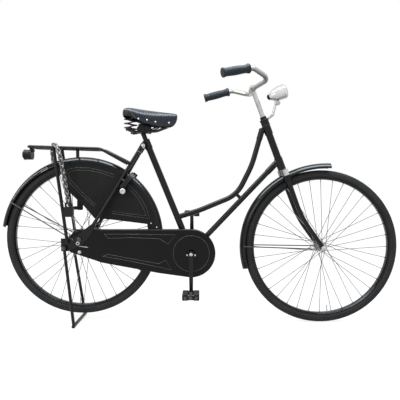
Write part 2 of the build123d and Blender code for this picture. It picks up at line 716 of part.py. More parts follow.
# headlamp: bullet shell, lens, bracket on the headset
lamp_line = Vector(cos(radians(lamp_tilt)), 0, sin(radians(lamp_tilt)))
lamp_start = on_steer(-nut_top) + at(lamp_set)
headlamp = lathe(lamp_start, lamp_line, [
    [(0.0, 0.0), (0.0, lamp_tail_radius)],
    [(0.0, lamp_tail_radius), lamp_bulge, (lamp_round, lamp_radius)],
    [(lamp_round, lamp_radius), (lamp_length, lamp_radius)],
    [(lamp_length, lamp_radius), (lamp_length, 0.0)],
    [(lamp_length, 0.0), (0.0, 0.0)]])
lens_start = lamp_start + lamp_line * lamp_length
headlamp_lens = cone(lens_start, lens_start + lamp_line * lens_depth, lamp_radius - lens_inset,
                     lamp_radius - lens_nose)
lamp_arm_points = [on_steer(-lamp_arm_start), on_steer(-nut_top) + at(lamp_arm_set),
                   lamp_start + lamp_line * lamp_arm_foot]
lamp_bracket = pipe(lamp_arm_points, lamp_arm_radius, [lamp_arm_bend])
lamp_bracket = main_solid(without(lamp_bracket, headset_nut, headlamp, stem))


# wheels: tyre, rim, crossed spokes, hub
def tyre(centre):
    side = [(rim_top + tyre_height * up, tyre_half * half) for up, half in tyre_shape]
    other = [(radius, -half) for radius, half in reversed(side[:-1])]
    return turned(ring_face(centre, closed_spans(side + other)), centre, 0.0, 360.0)


def rim(centre):
    corners = [(rim_low, -rim_floor_half), (rim_low + rim_slope, -rim_half), (rim_top, -rim_half),
               (rim_top, rim_half), (rim_low + rim_slope, rim_half), (rim_low, rim_floor_half)]
    return turned(ring_face(centre, closed_spans(corners)), centre, 0.0, 360.0)


def hub(centre, flange_y, flange_radius, barrel_radius):
    body = barrel(centre, barrel_radius, -flange_y - hub_end, flange_y + hub_end)
    for side in (-1, 1):
        middle = side * flange_y
        body = body + barrel(centre, flange_radius, middle - flange_wall / 2, middle + flange_wall / 2)
    return body - barrel(centre, axle_radius + axle_play, -flange_y * 2, flange_y * 2)


def spokes(centre, flange_y, flange_radius, rim_solid, hub_solid):
    found = []
    pitch = 360.0 / spoke_count
    for number in range(spoke_count):
        side = 1 if number % 2 else -1
        lead = 1 if (number // 2) % 2 else -1
        face_y = side * (flange_y + lead * (flange_wall / 2 + spoke_radius))
        low = at(polar(centre, flange_radius - spoke_inset, number * pitch + lead * spoke_cross_deg), face_y)
        high = at(polar(centre, rim_low + spoke_sunk, number * pitch), side * spoke_rim_y)
        section = Wire.make_polygon([Vector(spoke_radius, 0, 0).rotate(Axis.Z, 360.0 * step / spoke_sides)
                                     for step in range(spoke_sides)], close=True)
        plane = Plane(origin=low, z_dir=high - low)
        wire = Solid.extrude(Face(section.moved(plane.location)), high - low)
        found.append(without(wire, rim_solid, hub_solid))
    return found


front_rim = rim(front_axle)
rear_rim = rim(rear_axle)
front_hub = hub(front_axle, front_flange_y, front_flange_radius, front_barrel_radius)
rear_hub = hub(rear_axle, rear_flange_y, rear_flange_radius, rear_barrel_radius)

# cranks with the axle, pedals
crank_low = off(bracket, 0.0, -crank_length)
crank_high = off(bracket, 0.0, crank_length)


def crank(eye):
    arm = slab([off(bracket, -crank_wide, 0.0), off(bracket, crank_wide, 0.0), off(eye, crank_narrow, 0.0),
                off(eye, -crank_narrow, 0.0)], crank_in, crank_out)
    arm = arm + barrel(bracket, crank_boss_radius, crank_in, crank_out)
    arm = arm + barrel(eye, crank_eye_radius, crank_in, crank_out)
    return arm + barrel(eye, pedal_pin_radius, crank_out, pedal_outer - pedal_plate)


crank_axle_end = crank_out + crank_axle_spare
crank_axle = barrel(bracket, crank_axle_radius, -crank_axle_end, crank_axle_end)
crank_right = mirrored(crank(crank_low)) + crank_axle
crank_left = crank(crank_high) - crank_axle
bracket_shell = without(bracket_shell, barrel(bracket, crank_axle_radius + axle_play, -crank_in, crank_in))


def box_at(centre, half_x, half_z, y0, y1):
    return slab([off(centre, -half_x, -half_z), off(centre, half_x, -half_z), off(centre, half_x, half_z),
                 off(centre, -half_x, half_z)], y0, y1)


def pedal_frame(eye):
    body = barrel(eye, pedal_tube_radius, pedal_inner, pedal_outer)
    for y0 in (pedal_inner, pedal_outer - pedal_plate):
        body = body + box_at(eye, pedal_half, pedal_plate_up, y0, y0 + pedal_plate)
    return body - barrel(eye, pedal_pin_radius + pedal_play, crank_out, pedal_outer - pedal_plate + pedal_cap)


def pedal_blocks(eye):
    blocks = []
    block_half = (pedal_half + pedal_block_lip - pedal_block_gap) / 2
    for side in (-1, 1):
        middle = off(eye, side * (pedal_block_gap + block_half), 0.0)
        block = box_at(middle, block_half, pedal_block_half, pedal_inner + pedal_plate, pedal_outer - pedal_plate)
        blocks.append(block.chamfer(pedal_block_edge, None, block.edges().filter_by(Axis.Y)))
    return blocks


# stand: two legs with eyes on the dropouts and one cross bar on the ground
stand_foot = (stand_foot_ahead, stand_foot_radius)
stand_leg_y = stand_eye_in + stand_eye_width / 2
stand_leg = barrel(stand_pivot, stand_eye_radius, stand_eye_in, stand_eye_in + stand_eye_width)
stand_leg = stand_leg + rod(at(stand_pivot, stand_leg_y), at(stand_foot, stand_foot_half), stand_leg_radius)
stand_leg = stand_leg - barrel(stand_pivot, stand_pin_radius + stand_pin_play, drop_out, 2 * stand_pin_end)
stand_bar_half = stand_foot_half + stand_foot_spare
stand = stand_leg + mirrored(stand_leg) + barrel(stand_foot, stand_foot_radius, -stand_bar_half, stand_bar_half)

# saving
save("bottom_bracket_shell", bracket_shell)
save("seat_tube", seat_tube)
save("head_tube", head_tube)
save("loop_tube", loop_tube)
save("down_tube", down_tube)
save("seat_stay_right", seat_stay_right)
save("seat_stay_left", seat_stay_left)
save("chain_stay_left", chain_stay_left)
save("chaincase", chaincase)
save("rear_axle", rear_axle_rod)
save("rear_mudguard", rear_mudguard)
save("rear_mudguard_stays", rear_stay_left, rear_stay_right)
save("coat_guard_right", mirrored(coat_guard_left))
save("coat_guard_left", coat_guard_left)
save("carrier", carrier)
save("carrier_struts", carrier_strut_right, carrier_strut_left)
save("tail_lamp", tail_lamp)
save("tail_lamp_lens", tail_lens)
save("ring_lock", ring_lock)
save("lock_chain", lock_chain)
save("padlock", padlock)
save("seat_post", seat_post)
save("saddle_frame", saddle_frame)
save("saddle_springs", *saddle_springs)
save("saddle_cover", saddle_cover)
save("fork", *fork)
save("fork_crown", crown)
save("headset_nut", headset_nut)
save("front_mudguard", front_mudguard)
save("front_mudguard_stays", *front_guard_stays)
save("front_axle", front_axle_rod)
save("stem", stem)
save("handlebar", handlebar)
save("grip_left", grips[0])
save("grip_right", grips[1])
save("headlamp", headlamp)
save("headlamp_lens", headlamp_lens)
save("headlamp_bracket", lamp_bracket)
save("front_tyre", tyre(front_axle))
save("front_rim", front_rim)
save("front_spokes", *spokes(front_axle, front_flange_y, front_flange_radius, front_rim, front_hub))
save("front_hub", front_hub)
save("rear_tyre", tyre(rear_axle))
save("rear_rim", rear_rim)
save("rear_spokes", *spokes(rear_axle, rear_flange_y, rear_flange_radius, rear_rim, rear_hub))
save("rear_hub", rear_hub)
save("crank_right", crank_right)
save("crank_left", crank_left)
save("pedal_right", mirrored(pedal_frame(crank_low)))
save("pedal_right_blocks", *[mirrored(block) for block in pedal_blocks(crank_low)])
save("pedal_left", pedal_frame(crank_high))
save("pedal_left_blocks", *pedal_blocks(crank_high))
save("stand", stand)
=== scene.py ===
import json
import math

import bmesh
import bpy
from mathutils import Matrix, Vector

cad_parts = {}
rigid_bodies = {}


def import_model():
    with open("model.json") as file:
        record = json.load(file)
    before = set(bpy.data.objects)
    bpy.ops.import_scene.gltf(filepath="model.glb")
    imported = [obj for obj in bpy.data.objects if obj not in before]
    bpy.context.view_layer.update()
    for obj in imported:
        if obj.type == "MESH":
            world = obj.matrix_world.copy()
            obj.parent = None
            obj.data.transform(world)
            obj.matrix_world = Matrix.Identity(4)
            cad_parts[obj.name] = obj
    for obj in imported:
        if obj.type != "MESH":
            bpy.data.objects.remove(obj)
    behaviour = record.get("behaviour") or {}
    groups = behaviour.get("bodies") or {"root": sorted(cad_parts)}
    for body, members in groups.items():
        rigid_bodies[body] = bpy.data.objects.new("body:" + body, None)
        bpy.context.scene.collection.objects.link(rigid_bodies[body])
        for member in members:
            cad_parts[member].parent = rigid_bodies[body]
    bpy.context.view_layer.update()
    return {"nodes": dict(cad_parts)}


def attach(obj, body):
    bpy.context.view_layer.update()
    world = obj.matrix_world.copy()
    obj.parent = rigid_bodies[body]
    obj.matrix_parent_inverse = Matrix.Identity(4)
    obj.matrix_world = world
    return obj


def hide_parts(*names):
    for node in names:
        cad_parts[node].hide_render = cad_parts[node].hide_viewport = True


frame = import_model()
nodes = frame["nodes"]
print("frame loaded,", len(nodes), "nodes")

middleX = 543.0  # mm ahead of the rear axle, where the frame has X 0
rearAxle = (0.0, 396.0)
frontAxle = (1110.0, 355.0)
bracket = (508.0, 330.0)
headPoint = (895.97, 803.0)
headAngle = 69.5


def spot(x, y, z):  # mm from the rear axle to metres in the frame
    return Vector(((x - middleX) / 1000, y / 1000, z / 1000))


def around(centre, radius, turn, y):  # a place on a wheel's circle
    angle = math.radians(turn)
    return spot(centre[0] + radius * math.cos(angle), y, centre[1] + radius * math.sin(angle))


steerUp = Vector((-math.cos(math.radians(headAngle)), 0, math.sin(math.radians(headAngle))))
steerAhead = Vector((math.sin(math.radians(headAngle)), 0, math.cos(math.radians(headAngle))))
right = Vector((0, -1, 0))
left = Vector((0, 1, 0))


def onSteer(along, y=0.0):  # mm up the steering line from the head's middle
    return spot(headPoint[0], y, headPoint[1]) + steerUp * along / 1000


# shader sums

class Socket:
    def __init__(self, tree, out=None):
        self.tree = tree
        self.out = out

    def node(self, kind, settings=None, inputs=None, out=0):
        made = self.tree.nodes.new("ShaderNode" + kind)
        for name, value in (settings or {}).items():
            setattr(made, name, value)
        for name, value in (inputs or {}).items():
            if isinstance(value, Socket):
                self.tree.links.new(value.out, made.inputs[name])
            else:
                made.inputs[name].default_value = value
        return Socket(self.tree, made.outputs[out] if made.outputs else None)

    def sum(self, operation, a, b):
        return self.node("Math", {"operation": operation}, {0: a, 1: b})

    def __add__(self, other):
        return self.sum("ADD", self, other)

    def __radd__(self, other):
        return self.sum("ADD", other, self)

    def __sub__(self, other):
        return self.sum("SUBTRACT", self, other)

    def __rsub__(self, other):
        return self.sum("SUBTRACT", other, self)

    def __mul__(self, other):
        return self.sum("MULTIPLY", self, other)

    def __rmul__(self, other):
        return self.sum("MULTIPLY", other, self)

    def __lt__(self, other):
        return self.sum("LESS_THAN", self, other)

    def __abs__(self):
        return self.sum("ABSOLUTE", self, 0.0)


def onObject(s):  # a place on the piece, in the frame
    return s.node("TexCoord", {}, {}, "Object")


def split(s, vector, axis):  # one axis of a vector, 0 to 2
    return s.node("SeparateXYZ", {}, {"Vector": vector}, axis)


def sine(s, value):
    return s.sum("SINE", value, 0.0)


def reach(s, place, start, line):  # how far a place lies from the start along a line, in metres
    away = s.node("VectorMath", {"operation": "SUBTRACT"}, {0: place, 1: start})
    return s.node("VectorMath", {"operation": "DOT_PRODUCT"}, {0: away, 1: line}, 1)


def noise(s, place, scale, detail=3.0, rough=0.5):
    return s.node("TexNoise", {}, {"Vector": place, "Scale": scale, "Detail": detail, "Roughness": rough})


def spread(s, value, low, high, start, end):  # a value's range onto another, kept inside it
    return s.node("MapRange", {"clamp": True}, {"Value": value, "From Min": low, "From Max": high,
                                                "To Min": start, "To Max": end})


def tint(s, share, first, second):  # mixes two colours, each three numbers or a socket
    first, second = [(*colour, 1) if isinstance(colour, tuple) else colour for colour in (first, second)]
    return s.node("Mix", {"data_type": "RGBA"}, {0: share, 6: first, 7: second}, 2)  # 6, 7 and 2 hold colours


def bump(s, height, strength, distance):
    return s.node("Bump", {}, {"Height": height, "Strength": strength, "Distance": distance})


def facing(s):  # 1 on faces that look straight up, -1 straight down
    return split(s, s.node("NewGeometry", {}, {}, "Normal"), 2)


def makeFinish(name, recipe, *values):
    finish = bpy.data.materials.new(name)
    finish.use_nodes = True
    finish.node_tree.nodes.clear()
    surface = recipe(Socket(finish.node_tree), *values)
    surface.node("OutputMaterial", {}, {"Surface": surface})
    return finish


# finishes

paintLook = {"black": (0.0042, 0.0042, 0.0048), "worn": (0.0085, 0.0085, 0.0092),
             "dust": (0.05, 0.047, 0.042), "dustShare": 0.16}


def paint(s, gloss, peel, reflect):  # sprayed black lacquer with settled dust
    place = onObject(s)
    broad = noise(s, place, 7.0, 4.0)
    fine = noise(s, place, 260.0, 4.0, 0.7)
    level = spread(s, facing(s), 0.1, 1.0, 0.0, 1.0)
    settled = level * spread(s, broad * fine, 0.2, 0.45, 0.0, paintLook["dustShare"])
    colour = tint(s, broad, paintLook["black"], paintLook["worn"])
    colour = tint(s, settled, colour, paintLook["dust"])
    shine = spread(s, broad, 0.3, 0.7, gloss, gloss + 0.09) + settled * 0.6
    return s.node("BsdfPrincipled", {}, {
        "Base Color": colour, "Roughness": shine, "Specular IOR Level": reflect,
        "Normal": bump(s, noise(s, place, 520.0, 2.0), peel, 0.0004)})


# pit colour, and the colour of the painted shade on faces that look down
platedLook = {"pit": (0.16, 0.13, 0.10), "below": (0.09, 0.09, 0.085)}


def plated(s, gloss, bright, dull, shade=0.0, low=-0.75, high=0.15):  # smeared metal with pits, and painted shade on faces that look down
    place = onObject(s)
    # painted shade: the more a face looks down, the darker its colour
    below = spread(s, facing(s), low, high, shade, 0.0)
    smear = noise(s, place, 38.0, 5.0, 0.65)
    pits = spread(s, noise(s, place, 620.0, 2.0), 0.66, 0.74, 0.0, 1.0)
    colour = tint(s, spread(s, smear, 0.35, 0.75, 0.0, 1.0), bright, dull)
    colour = tint(s, pits * 0.3, colour, platedLook["pit"])
    colour = tint(s, below, colour, platedLook["below"])
    return s.node("BsdfPrincipled", {}, {
        "Base Color": colour, "Metallic": 1.0 - pits * 0.4,
        "Roughness": spread(s, smear, 0.3, 0.8, gloss, gloss + 0.16) + pits * 0.3,
        "Normal": bump(s, smear, 0.02, 0.0006)})


def rubber(s, dark, pale, shine, scale, grain):  # moulded rubber, greyed by dust
    place = onObject(s)
    cloud = noise(s, place, 16.0, 6.0, 0.62)
    speck = noise(s, place, scale, 3.0, 0.7)
    share = spread(s, cloud * 0.65 + speck * 0.35, 0.32, 0.68, 0.0, 1.0)
    return s.node("BsdfPrincipled", {}, {
        "Base Color": tint(s, share, dark, pale), "Specular IOR Level": 0.14,
        "Roughness": spread(s, cloud, 0.3, 0.7, shine, shine + 0.16),
        "Normal": bump(s, speck, grain, 0.0005)})


leatherLook = {"deep": (0.0055, 0.007, 0.013), "rubbed": (0.017, 0.022, 0.036),
               "line": (0.06, 0.066, 0.078), "lineUp": 6.0, "lineWide": 1.1,
               # the dark rear colour stands for the cantle with painted shade; the light line along its edge
               # is a painted highlight
               "rear": (0.003, 0.003, 0.0035), "rearEdge": (254.0, 0.0, 950.3), "rearLean": 124.4,
               "edgeHighlight": (0.16, 0.165, 0.175), "edgeHighlightWide": 1.3}  # places and widths in mm


def hide(s):  # dyed saddle leather, a pressed line along the skirt, a darker rear that stands for the cantle and painted shade, and a painted highlight on the leather's rear edge
    place = onObject(s)
    cells = s.node("TexVoronoi", {"feature": "DISTANCE_TO_EDGE"}, {"Vector": place, "Scale": 620.0})
    crease = noise(s, place, 95.0, 5.0, 0.6)
    wear = noise(s, place, 22.0, 5.0)
    skirt = s.node("Attribute", {"attribute_name": "skirt"}, {}, 2)
    line = abs(skirt - leatherLook["lineUp"]) < leatherLook["lineWide"]
    colour = tint(s, spread(s, wear, 0.32, 0.72, 0.0, 1.0), leatherLook["deep"], leatherLook["rubbed"])
    colour = tint(s, line * 0.75, colour, leatherLook["line"])
    lean = math.radians(leatherLook["rearLean"])
    ahead = reach(s, place, spot(*leatherLook["rearEdge"]), (math.sin(lean), 0, -math.cos(lean))) * 1000
    # a painted highlight along the leather's rear edge, and the cantle with painted shade behind it
    edgeHighlight = abs(ahead) < leatherLook["edgeHighlightWide"]
    colour = tint(s, ahead < 0.0, colour, leatherLook["rear"])
    colour = tint(s, edgeHighlight * 0.8, colour, leatherLook["edgeHighlight"])
    grain = spread(s, cells, 0.0, 0.12, 0.0, 1.0) * 0.6 + crease * 0.5 - line * 0.8
    return s.node("BsdfPrincipled", {}, {
        "Base Color": colour, "Roughness": spread(s, wear, 0.3, 0.75, 0.42, 0.27) + line * 0.1,
        "Specular IOR Level": 0.3, "Coat Weight": 0.08, "Coat Roughness": 0.22,
        "Normal": bump(s, grain, 0.3, 0.0006)})


clothLook = {"thread": 1.1, "dark": (0.0092, 0.0092, 0.0097), "pale": (0.0212, 0.0208, 0.02)}  # thread in mm


def linen(s):  # stretched guard cloth under a thin lacquer
    place = onObject(s)
    pitch = 2 * math.pi * 1000 / clothLook["thread"]
    weave = sine(s, split(s, place, 0) * pitch) * sine(s, split(s, place, 2) * pitch) * 0.5 + 0.5
    cloud = noise(s, place, 11.0, 5.0)
    share = spread(s, cloud, 0.3, 0.75, 0.0, 0.8) + weave * 0.2
    return s.node("BsdfPrincipled", {}, {
        "Base Color": tint(s, share, clothLook["dark"], clothLook["pale"]),
        "Roughness": spread(s, cloud, 0.3, 0.7, 0.48, 0.62), "Specular IOR Level": 0.12,
        "Normal": bump(s, weave + noise(s, place, 55.0) * 0.8, 0.22, 0.0004)})


def plastic(s, dark, pale, shine):  # moulded shell with a fine texture
    place = onObject(s)
    speck = noise(s, place, 900.0, 2.0)
    cloud = noise(s, place, 30.0, 4.0)
    return s.node("BsdfPrincipled", {}, {
        "Base Color": tint(s, cloud, dark, pale), "Specular IOR Level": 0.16,
        "Roughness": spread(s, cloud, 0.3, 0.7, shine, shine + 0.14),
        "Normal": bump(s, speck, 0.18, 0.0003)})


lensLook = {"ribs": 2400.0, "worn": 0.8}


def lens(s, colour, clear):  # pressed glass or lens plastic with faint ribs
    place = onObject(s)
    ribs = sine(s, split(s, place, 1) * lensLook["ribs"])
    film = noise(s, place, 120.0, 4.0)
    return s.node("BsdfPrincipled", {}, {
        "Base Color": tint(s, film * 0.3, colour, tuple(part * lensLook["worn"] for part in colour)),
        "Roughness": spread(s, film, 0.3, 0.8, 0.04, 0.16), "Transmission Weight": clear, "IOR": 1.46,
        "Normal": bump(s, ribs, 0.35, 0.0008)})


def enamel(s, colour, shade):  # thin hand-drawn lines
    place = onObject(s)
    worn = noise(s, place, 210.0, 4.0, 0.7)
    return s.node("BsdfPrincipled", {}, {
        "Base Color": tint(s, spread(s, worn, 0.35, 0.7, 0.0, 1.0), colour, shade),
        "Roughness": spread(s, worn, 0.3, 0.7, 0.3, 0.5)})


crownLook = {"bandEnd": -126.0, "fade": 1.0,  # mm up the steering line from the head's middle
             "dimFrom": -2.0, "dimTo": -12.0, "backShade": 0.72,  # mm ahead of that line, and how dark the painted shade on the back is
             "lacquer": (0.16, 0.05, 0.2), "band": (0.12, (0.70, 0.70, 0.69), (0.50, 0.50, 0.485), 0.5)}


def crownBand(s):  # bright band above, lacquered sleeves below, and painted shade that fades the band's back towards the lacquer
    place = onObject(s)
    bandEnd = onSteer(crownLook["bandEnd"])
    above = spread(s, reach(s, place, bandEnd, steerUp), 0.0, crownLook["fade"] / 1000, 0.0, 1.0)
    # painted shade on the back of the band, which mixes in the black lacquer there
    back = spread(s, reach(s, place, bandEnd, steerAhead), crownLook["dimTo"] / 1000,
                  crownLook["dimFrom"] / 1000, crownLook["backShade"], 0.0)
    return s.node("MixShader", {}, {0: above * (1.0 - back), 1: paint(s, *crownLook["lacquer"]),
                                    2: plated(s, *crownLook["band"])})


# paint: gloss, peel, reflection; plated: gloss, bright, dull, then how dark its painted shade below is and
# from where
# rubber: dark, pale, shine, grain's scale and depth; plastic: dark, pale, shine; enamel: colour, worn colour
finishes = {
    "paint": makeFinish("black_lacquer", paint, 0.12, 0.02, 0.24),
    "casePaint": makeFinish("case_lacquer", paint, 0.09, 0.04, 0.14),
    "satinPaint": makeFinish("satin_black", paint, 0.26, 0.04, 0.26),
    "chrome": makeFinish("plated_chrome", plated, 0.12, (0.66, 0.66, 0.65), (0.46, 0.46, 0.445), 0.75),
    "barChrome": makeFinish("bar_chrome", plated, 0.14, (0.70, 0.70, 0.68), (0.52, 0.52, 0.49),
                            0.85, -0.7, 0.3),
    "lampChrome": makeFinish("lamp_chrome", plated, 0.16, (0.80, 0.80, 0.79), (0.68, 0.68, 0.66),
                             0.65, -0.8, 0.0),
    "spoke": makeFinish("spoke_steel", plated, 0.3, (0.24, 0.24, 0.235), (0.13, 0.13, 0.13)),
    "steel": makeFinish("bare_steel", plated, 0.24, (0.60, 0.60, 0.60), (0.42, 0.42, 0.42)),
    "crown": makeFinish("crown_band", crownBand),
    "darkSteel": makeFinish("dark_steel", plated, 0.26, (0.11, 0.11, 0.12), (0.05, 0.05, 0.055)),
    # the chain gets strong painted shade on all but the links' upward faces, so their tops read as painted
    # highlights
    "chain": makeFinish("chain_steel", plated, 0.16, (0.70, 0.70, 0.69), (0.36, 0.36, 0.35),
                        0.97, -0.05, 0.5),
    "tyre": makeFinish("tyre_rubber", rubber, (0.022, 0.0223, 0.0232), (0.053, 0.0535, 0.055),
                       0.58, 420.0, 0.2),
    "grip": makeFinish("grip_rubber", rubber, (0.032, 0.037, 0.041), (0.043, 0.05, 0.055), 0.44, 700.0, 0.01),
    "pedal": makeFinish("pedal_rubber", rubber, (0.012, 0.014, 0.018), (0.04, 0.045, 0.055), 0.5, 560.0, 0.2),
    "leather": makeFinish("saddle_leather", hide),
    "linen": makeFinish("guard_cloth", linen),
    "plastic": makeFinish("black_plastic", plastic, (0.006, 0.006, 0.007), (0.018, 0.018, 0.02), 0.34),
    "glass": makeFinish("lamp_glass", lens, (0.95, 0.96, 0.97), 0.92),
    "redLens": makeFinish("red_lens", lens, (0.42, 0.012, 0.01), 0.25),
    "gold": makeFinish("tan_line", enamel, (0.15, 0.138, 0.112), (0.085, 0.078, 0.064)),
    "greyLine": makeFinish("grey_line", enamel, (0.125, 0.12, 0.108), (0.066, 0.063, 0.056)),
    "white": makeFinish("white_line", enamel, (0.72, 0.72, 0.70), (0.40, 0.40, 0.38)),
}
print("finishes made,", len(finishes))

nodeFinish = {
    "paint": ["bottom_bracket_shell", "seat_tube", "head_tube", "loop_tube", "down_tube", "seat_stay_right",
              "seat_stay_left", "chain_stay_left", "rear_mudguard", "front_mudguard", "fork", "headset_nut",
              "front_rim", "rear_rim"],
    "casePaint": ["chaincase"],
    "satinPaint": ["carrier", "carrier_struts", "stand", "seat_post", "saddle_frame", "crank_left",
                   "crank_right", "pedal_left", "pedal_right", "ring_lock", "padlock"],
    "crown": ["fork_crown"],
    "chrome": ["stem", "headlamp_bracket", "front_hub"],
    "barChrome": ["handlebar"],
    "steel": ["rear_hub", "front_axle"],
    "darkSteel": ["rear_mudguard_stays", "front_mudguard_stays", "rear_axle"],
    "linen": ["coat_guard_right", "coat_guard_left"],
    "plastic": ["tail_lamp"],
}
for finishName, names in nodeFinish.items():
    for name in names:
        for place in nodes[name].material_slots:
            place.material = finishes[finishName]
print("nodes finished")


# mesh helpers

def layRod(shape, start, end, radius, tip=None, sides=10):
    line = end - start
    turn = line.to_track_quat("Z", "Y").to_matrix().to_4x4()
    made = bmesh.ops.create_cone(shape, cap_ends=True, segments=sides, radius1=radius / 1000,
                                 radius2=(radius if tip is None else tip) / 1000, depth=line.length,
                                 matrix=Matrix.Translation((start + end) / 2) @ turn)
    return made["verts"]


def roundOff(shape, verts, width, steps=2, sharp=30.0):
    edges = {edge for vert in verts for edge in vert.link_edges
             if edge.is_manifold and edge.calc_face_angle() > math.radians(sharp)}
    bmesh.ops.bevel(shape, geom=list(edges), offset=width / 1000, offset_type="OFFSET", affect="EDGES",
                    segments=steps, profile=0.5, material=-1, clamp_overlap=True)


def turnRound(shape, profile, start, line, steps=32):  # profile rows: mm along, mm out
    side = line.orthogonal().normalized()
    verts = [shape.verts.new(start + line * along / 1000 + side * out / 1000) for along, out in profile]
    edges = [shape.edges.new(pair) for pair in zip(verts, verts[1:])]
    bmesh.ops.spin(shape, geom=verts + edges, cent=start, axis=line, angle=2 * math.pi, steps=steps,
                   use_merge=True)
    bmesh.ops.remove_doubles(shape, verts=shape.verts, dist=1e-6)


def ringParts(ring):  # what a spin of a circle takes: its corners, edges and cap
    parts = ring + list({edge for vert in ring for edge in vert.link_edges})
    return parts + list({face for vert in ring for face in vert.link_faces})


hexEdge = 0.1  # share of the radius
dome = [(-0.5, 0.0), (-0.5, 0.8), (0.0, 1.0), (0.35, 0.94), (0.75, 0.66), (0.95, 0.33), (1.0, 0.0)]  # shares
bolt = {"washer": 1.45, "head": 0.75, "screw": 0.5,  # shares of the radius
        "washerHigh": 1.0, "seat": 1.2, "screwHigh": 1.4, "steps": 24}


def layHex(shape, centre, line, radius, height):  # a nut or bolt head
    roundOff(shape, layRod(shape, centre, centre + line * height / 1000, radius, sides=6), radius * hexEdge)


def layDome(shape, centre, line, radius, height, steps=16):  # a rivet or cap
    turnRound(shape, [(height * along, radius * out) for along, out in dome], centre, line, steps)


def layBolt(shape, centre, line, radius):  # washer, head, and the screw's end
    wide, high, head = radius * bolt["washer"], bolt["washerHigh"], radius * bolt["head"]
    turnRound(shape, [(0.0, 0.0), (0.0, wide), (high, wide), (bolt["seat"], radius), (bolt["seat"], 0.0)],
              centre, line, bolt["steps"])
    layHex(shape, centre + line * high / 1000, line, radius, head)
    layDome(shape, centre + line * (head + high) / 1000, line, radius * bolt["screw"], bolt["screwHigh"])


def layBlock(shape, low, high, edge, steps=2):  # a box with rounded edges, corners in mm
    size = [abs(part) for part in spot(*high) - spot(*low)]
    matrix = Matrix.Translation((spot(*low) + spot(*high)) / 2) @ Matrix.Diagonal((*size, 1))
    roundOff(shape, bmesh.ops.create_cube(shape, size=1.0, matrix=matrix)["verts"], edge, steps)


def addPiece(name, shape, body, finish, stands=(), sharp=38.0):
    bmesh.ops.recalc_face_normals(shape, faces=shape.faces)
    mesh = bpy.data.meshes.new(name)
    shape.to_mesh(mesh)
    shape.free()
    mesh.materials.append(finishes[finish])
    mesh.polygons.foreach_set("use_smooth", [True] * len(mesh.polygons))
    mesh.set_sharp_from_angle(angle=math.radians(sharp))
    piece = bpy.data.objects.new(name, mesh)
    bpy.context.scene.collection.objects.link(piece)
    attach(piece, body)
    if stands:
        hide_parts(*stands)
    return piece


def addLines(name, paths, radius, body, finish):  # thin round lines through mm places
    curve = bpy.data.curves.new(name, "CURVE")
    curve.dimensions = "3D"
    curve.bevel_depth = radius / 1000
    curve.bevel_resolution = 1
    for line in paths:
        strip = curve.splines.new("POLY")
        strip.points.add(len(line) - 1)
        for point, place in zip(strip.points, line):
            point.co = (*spot(*place), 1)
    drawn = bpy.data.objects.new(name, curve)
    shape = bmesh.new()
    shape.from_mesh(bpy.data.meshes.new_from_object(drawn))
    bpy.data.objects.remove(drawn)
    return addPiece(name, shape, body, finish)


# wheels

wheelParts = {
    "front": {"centre": frontAxle, "flangeY": 31.0, "flangeRadius": 22.0, "valveTurn": -83.5},
    "rear": {"centre": rearAxle, "flangeY": 24.0, "flangeRadius": 34.0, "valveTurn": -92.9},
}
tyre = {
    "steps": 216, "treadFrom": 347.5, "gap": 0.8, "raise": 0.9,
    "side": [(322.0, 15.0), (324.0, 16.8), (326.6, 18.2), (327.2, 19.2), (328.6, 19.5), (329.4, 19.0),
             (333.5, 19.9), (337.5, 19.7), (341.5, 18.8), (344.6, 17.4), (345.2, 17.7), (346.4, 17.0),
             (347.0, 15.6), (349.4, 12.6), (351.6, 9.2), (353.2, 5.6), (354.0, 1.9)],  # radius, half width
}
spoke = {"count": 36, "radius": 1.4, "sides": 8, "cross": 62.0, "inset": 3.5, "wall": 3.0,
         "rimY": 4.0, "rimRadius": 311.6, "nipple": 12.0, "nippleRadius": 2.3, "nippleFoot": 0.72,
         "head": 2.3, "headOver": 1.6, "headHigh": 1.2, "headTip": 0.6}
valve = {"root": 312.0, "steps": 16,
         "profile": [(0.0, 0.0), (0.0, 5.2), (3.5, 5.2), (4.2, 2.6), (21.08, 2.6), (21.76, 3.3), (31.96, 3.3),
                     (34.0, 1.82), (34.0, 0.0)]}  # along, radius


def makeTyre(wheel, centre):
    shape = bmesh.new()
    rows = tyre["side"] + [(radius, -half) for radius, half in reversed(tyre["side"])]
    verts = [shape.verts.new(spot(centre[0] + radius, half, centre[1])) for radius, half in rows]
    edges = [shape.edges.new(pair) for pair in zip(verts, verts[1:] + verts[:1])]
    middle = spot(centre[0], 0, centre[1])
    bmesh.ops.spin(shape, geom=verts + edges, cent=middle, axis=left, angle=2 * math.pi, steps=tyre["steps"],
                   use_merge=True)
    bmesh.ops.recalc_face_normals(shape, faces=shape.faces)
    tread = []
    for face in shape.faces:
        out = face.calc_center_median() - middle
        out.y = 0
        if out.length > tyre["treadFrom"] / 1000:
            tread.append(face)
    bmesh.ops.inset_individual(shape, faces=tread, thickness=tyre["gap"] / 1000, depth=tyre["raise"] / 1000,
                               use_even_offset=True)
    addPiece(wheel + "_tyre_rubber", shape, wheel + "_wheel", "tyre", [wheel + "_tyre"], 50.0)


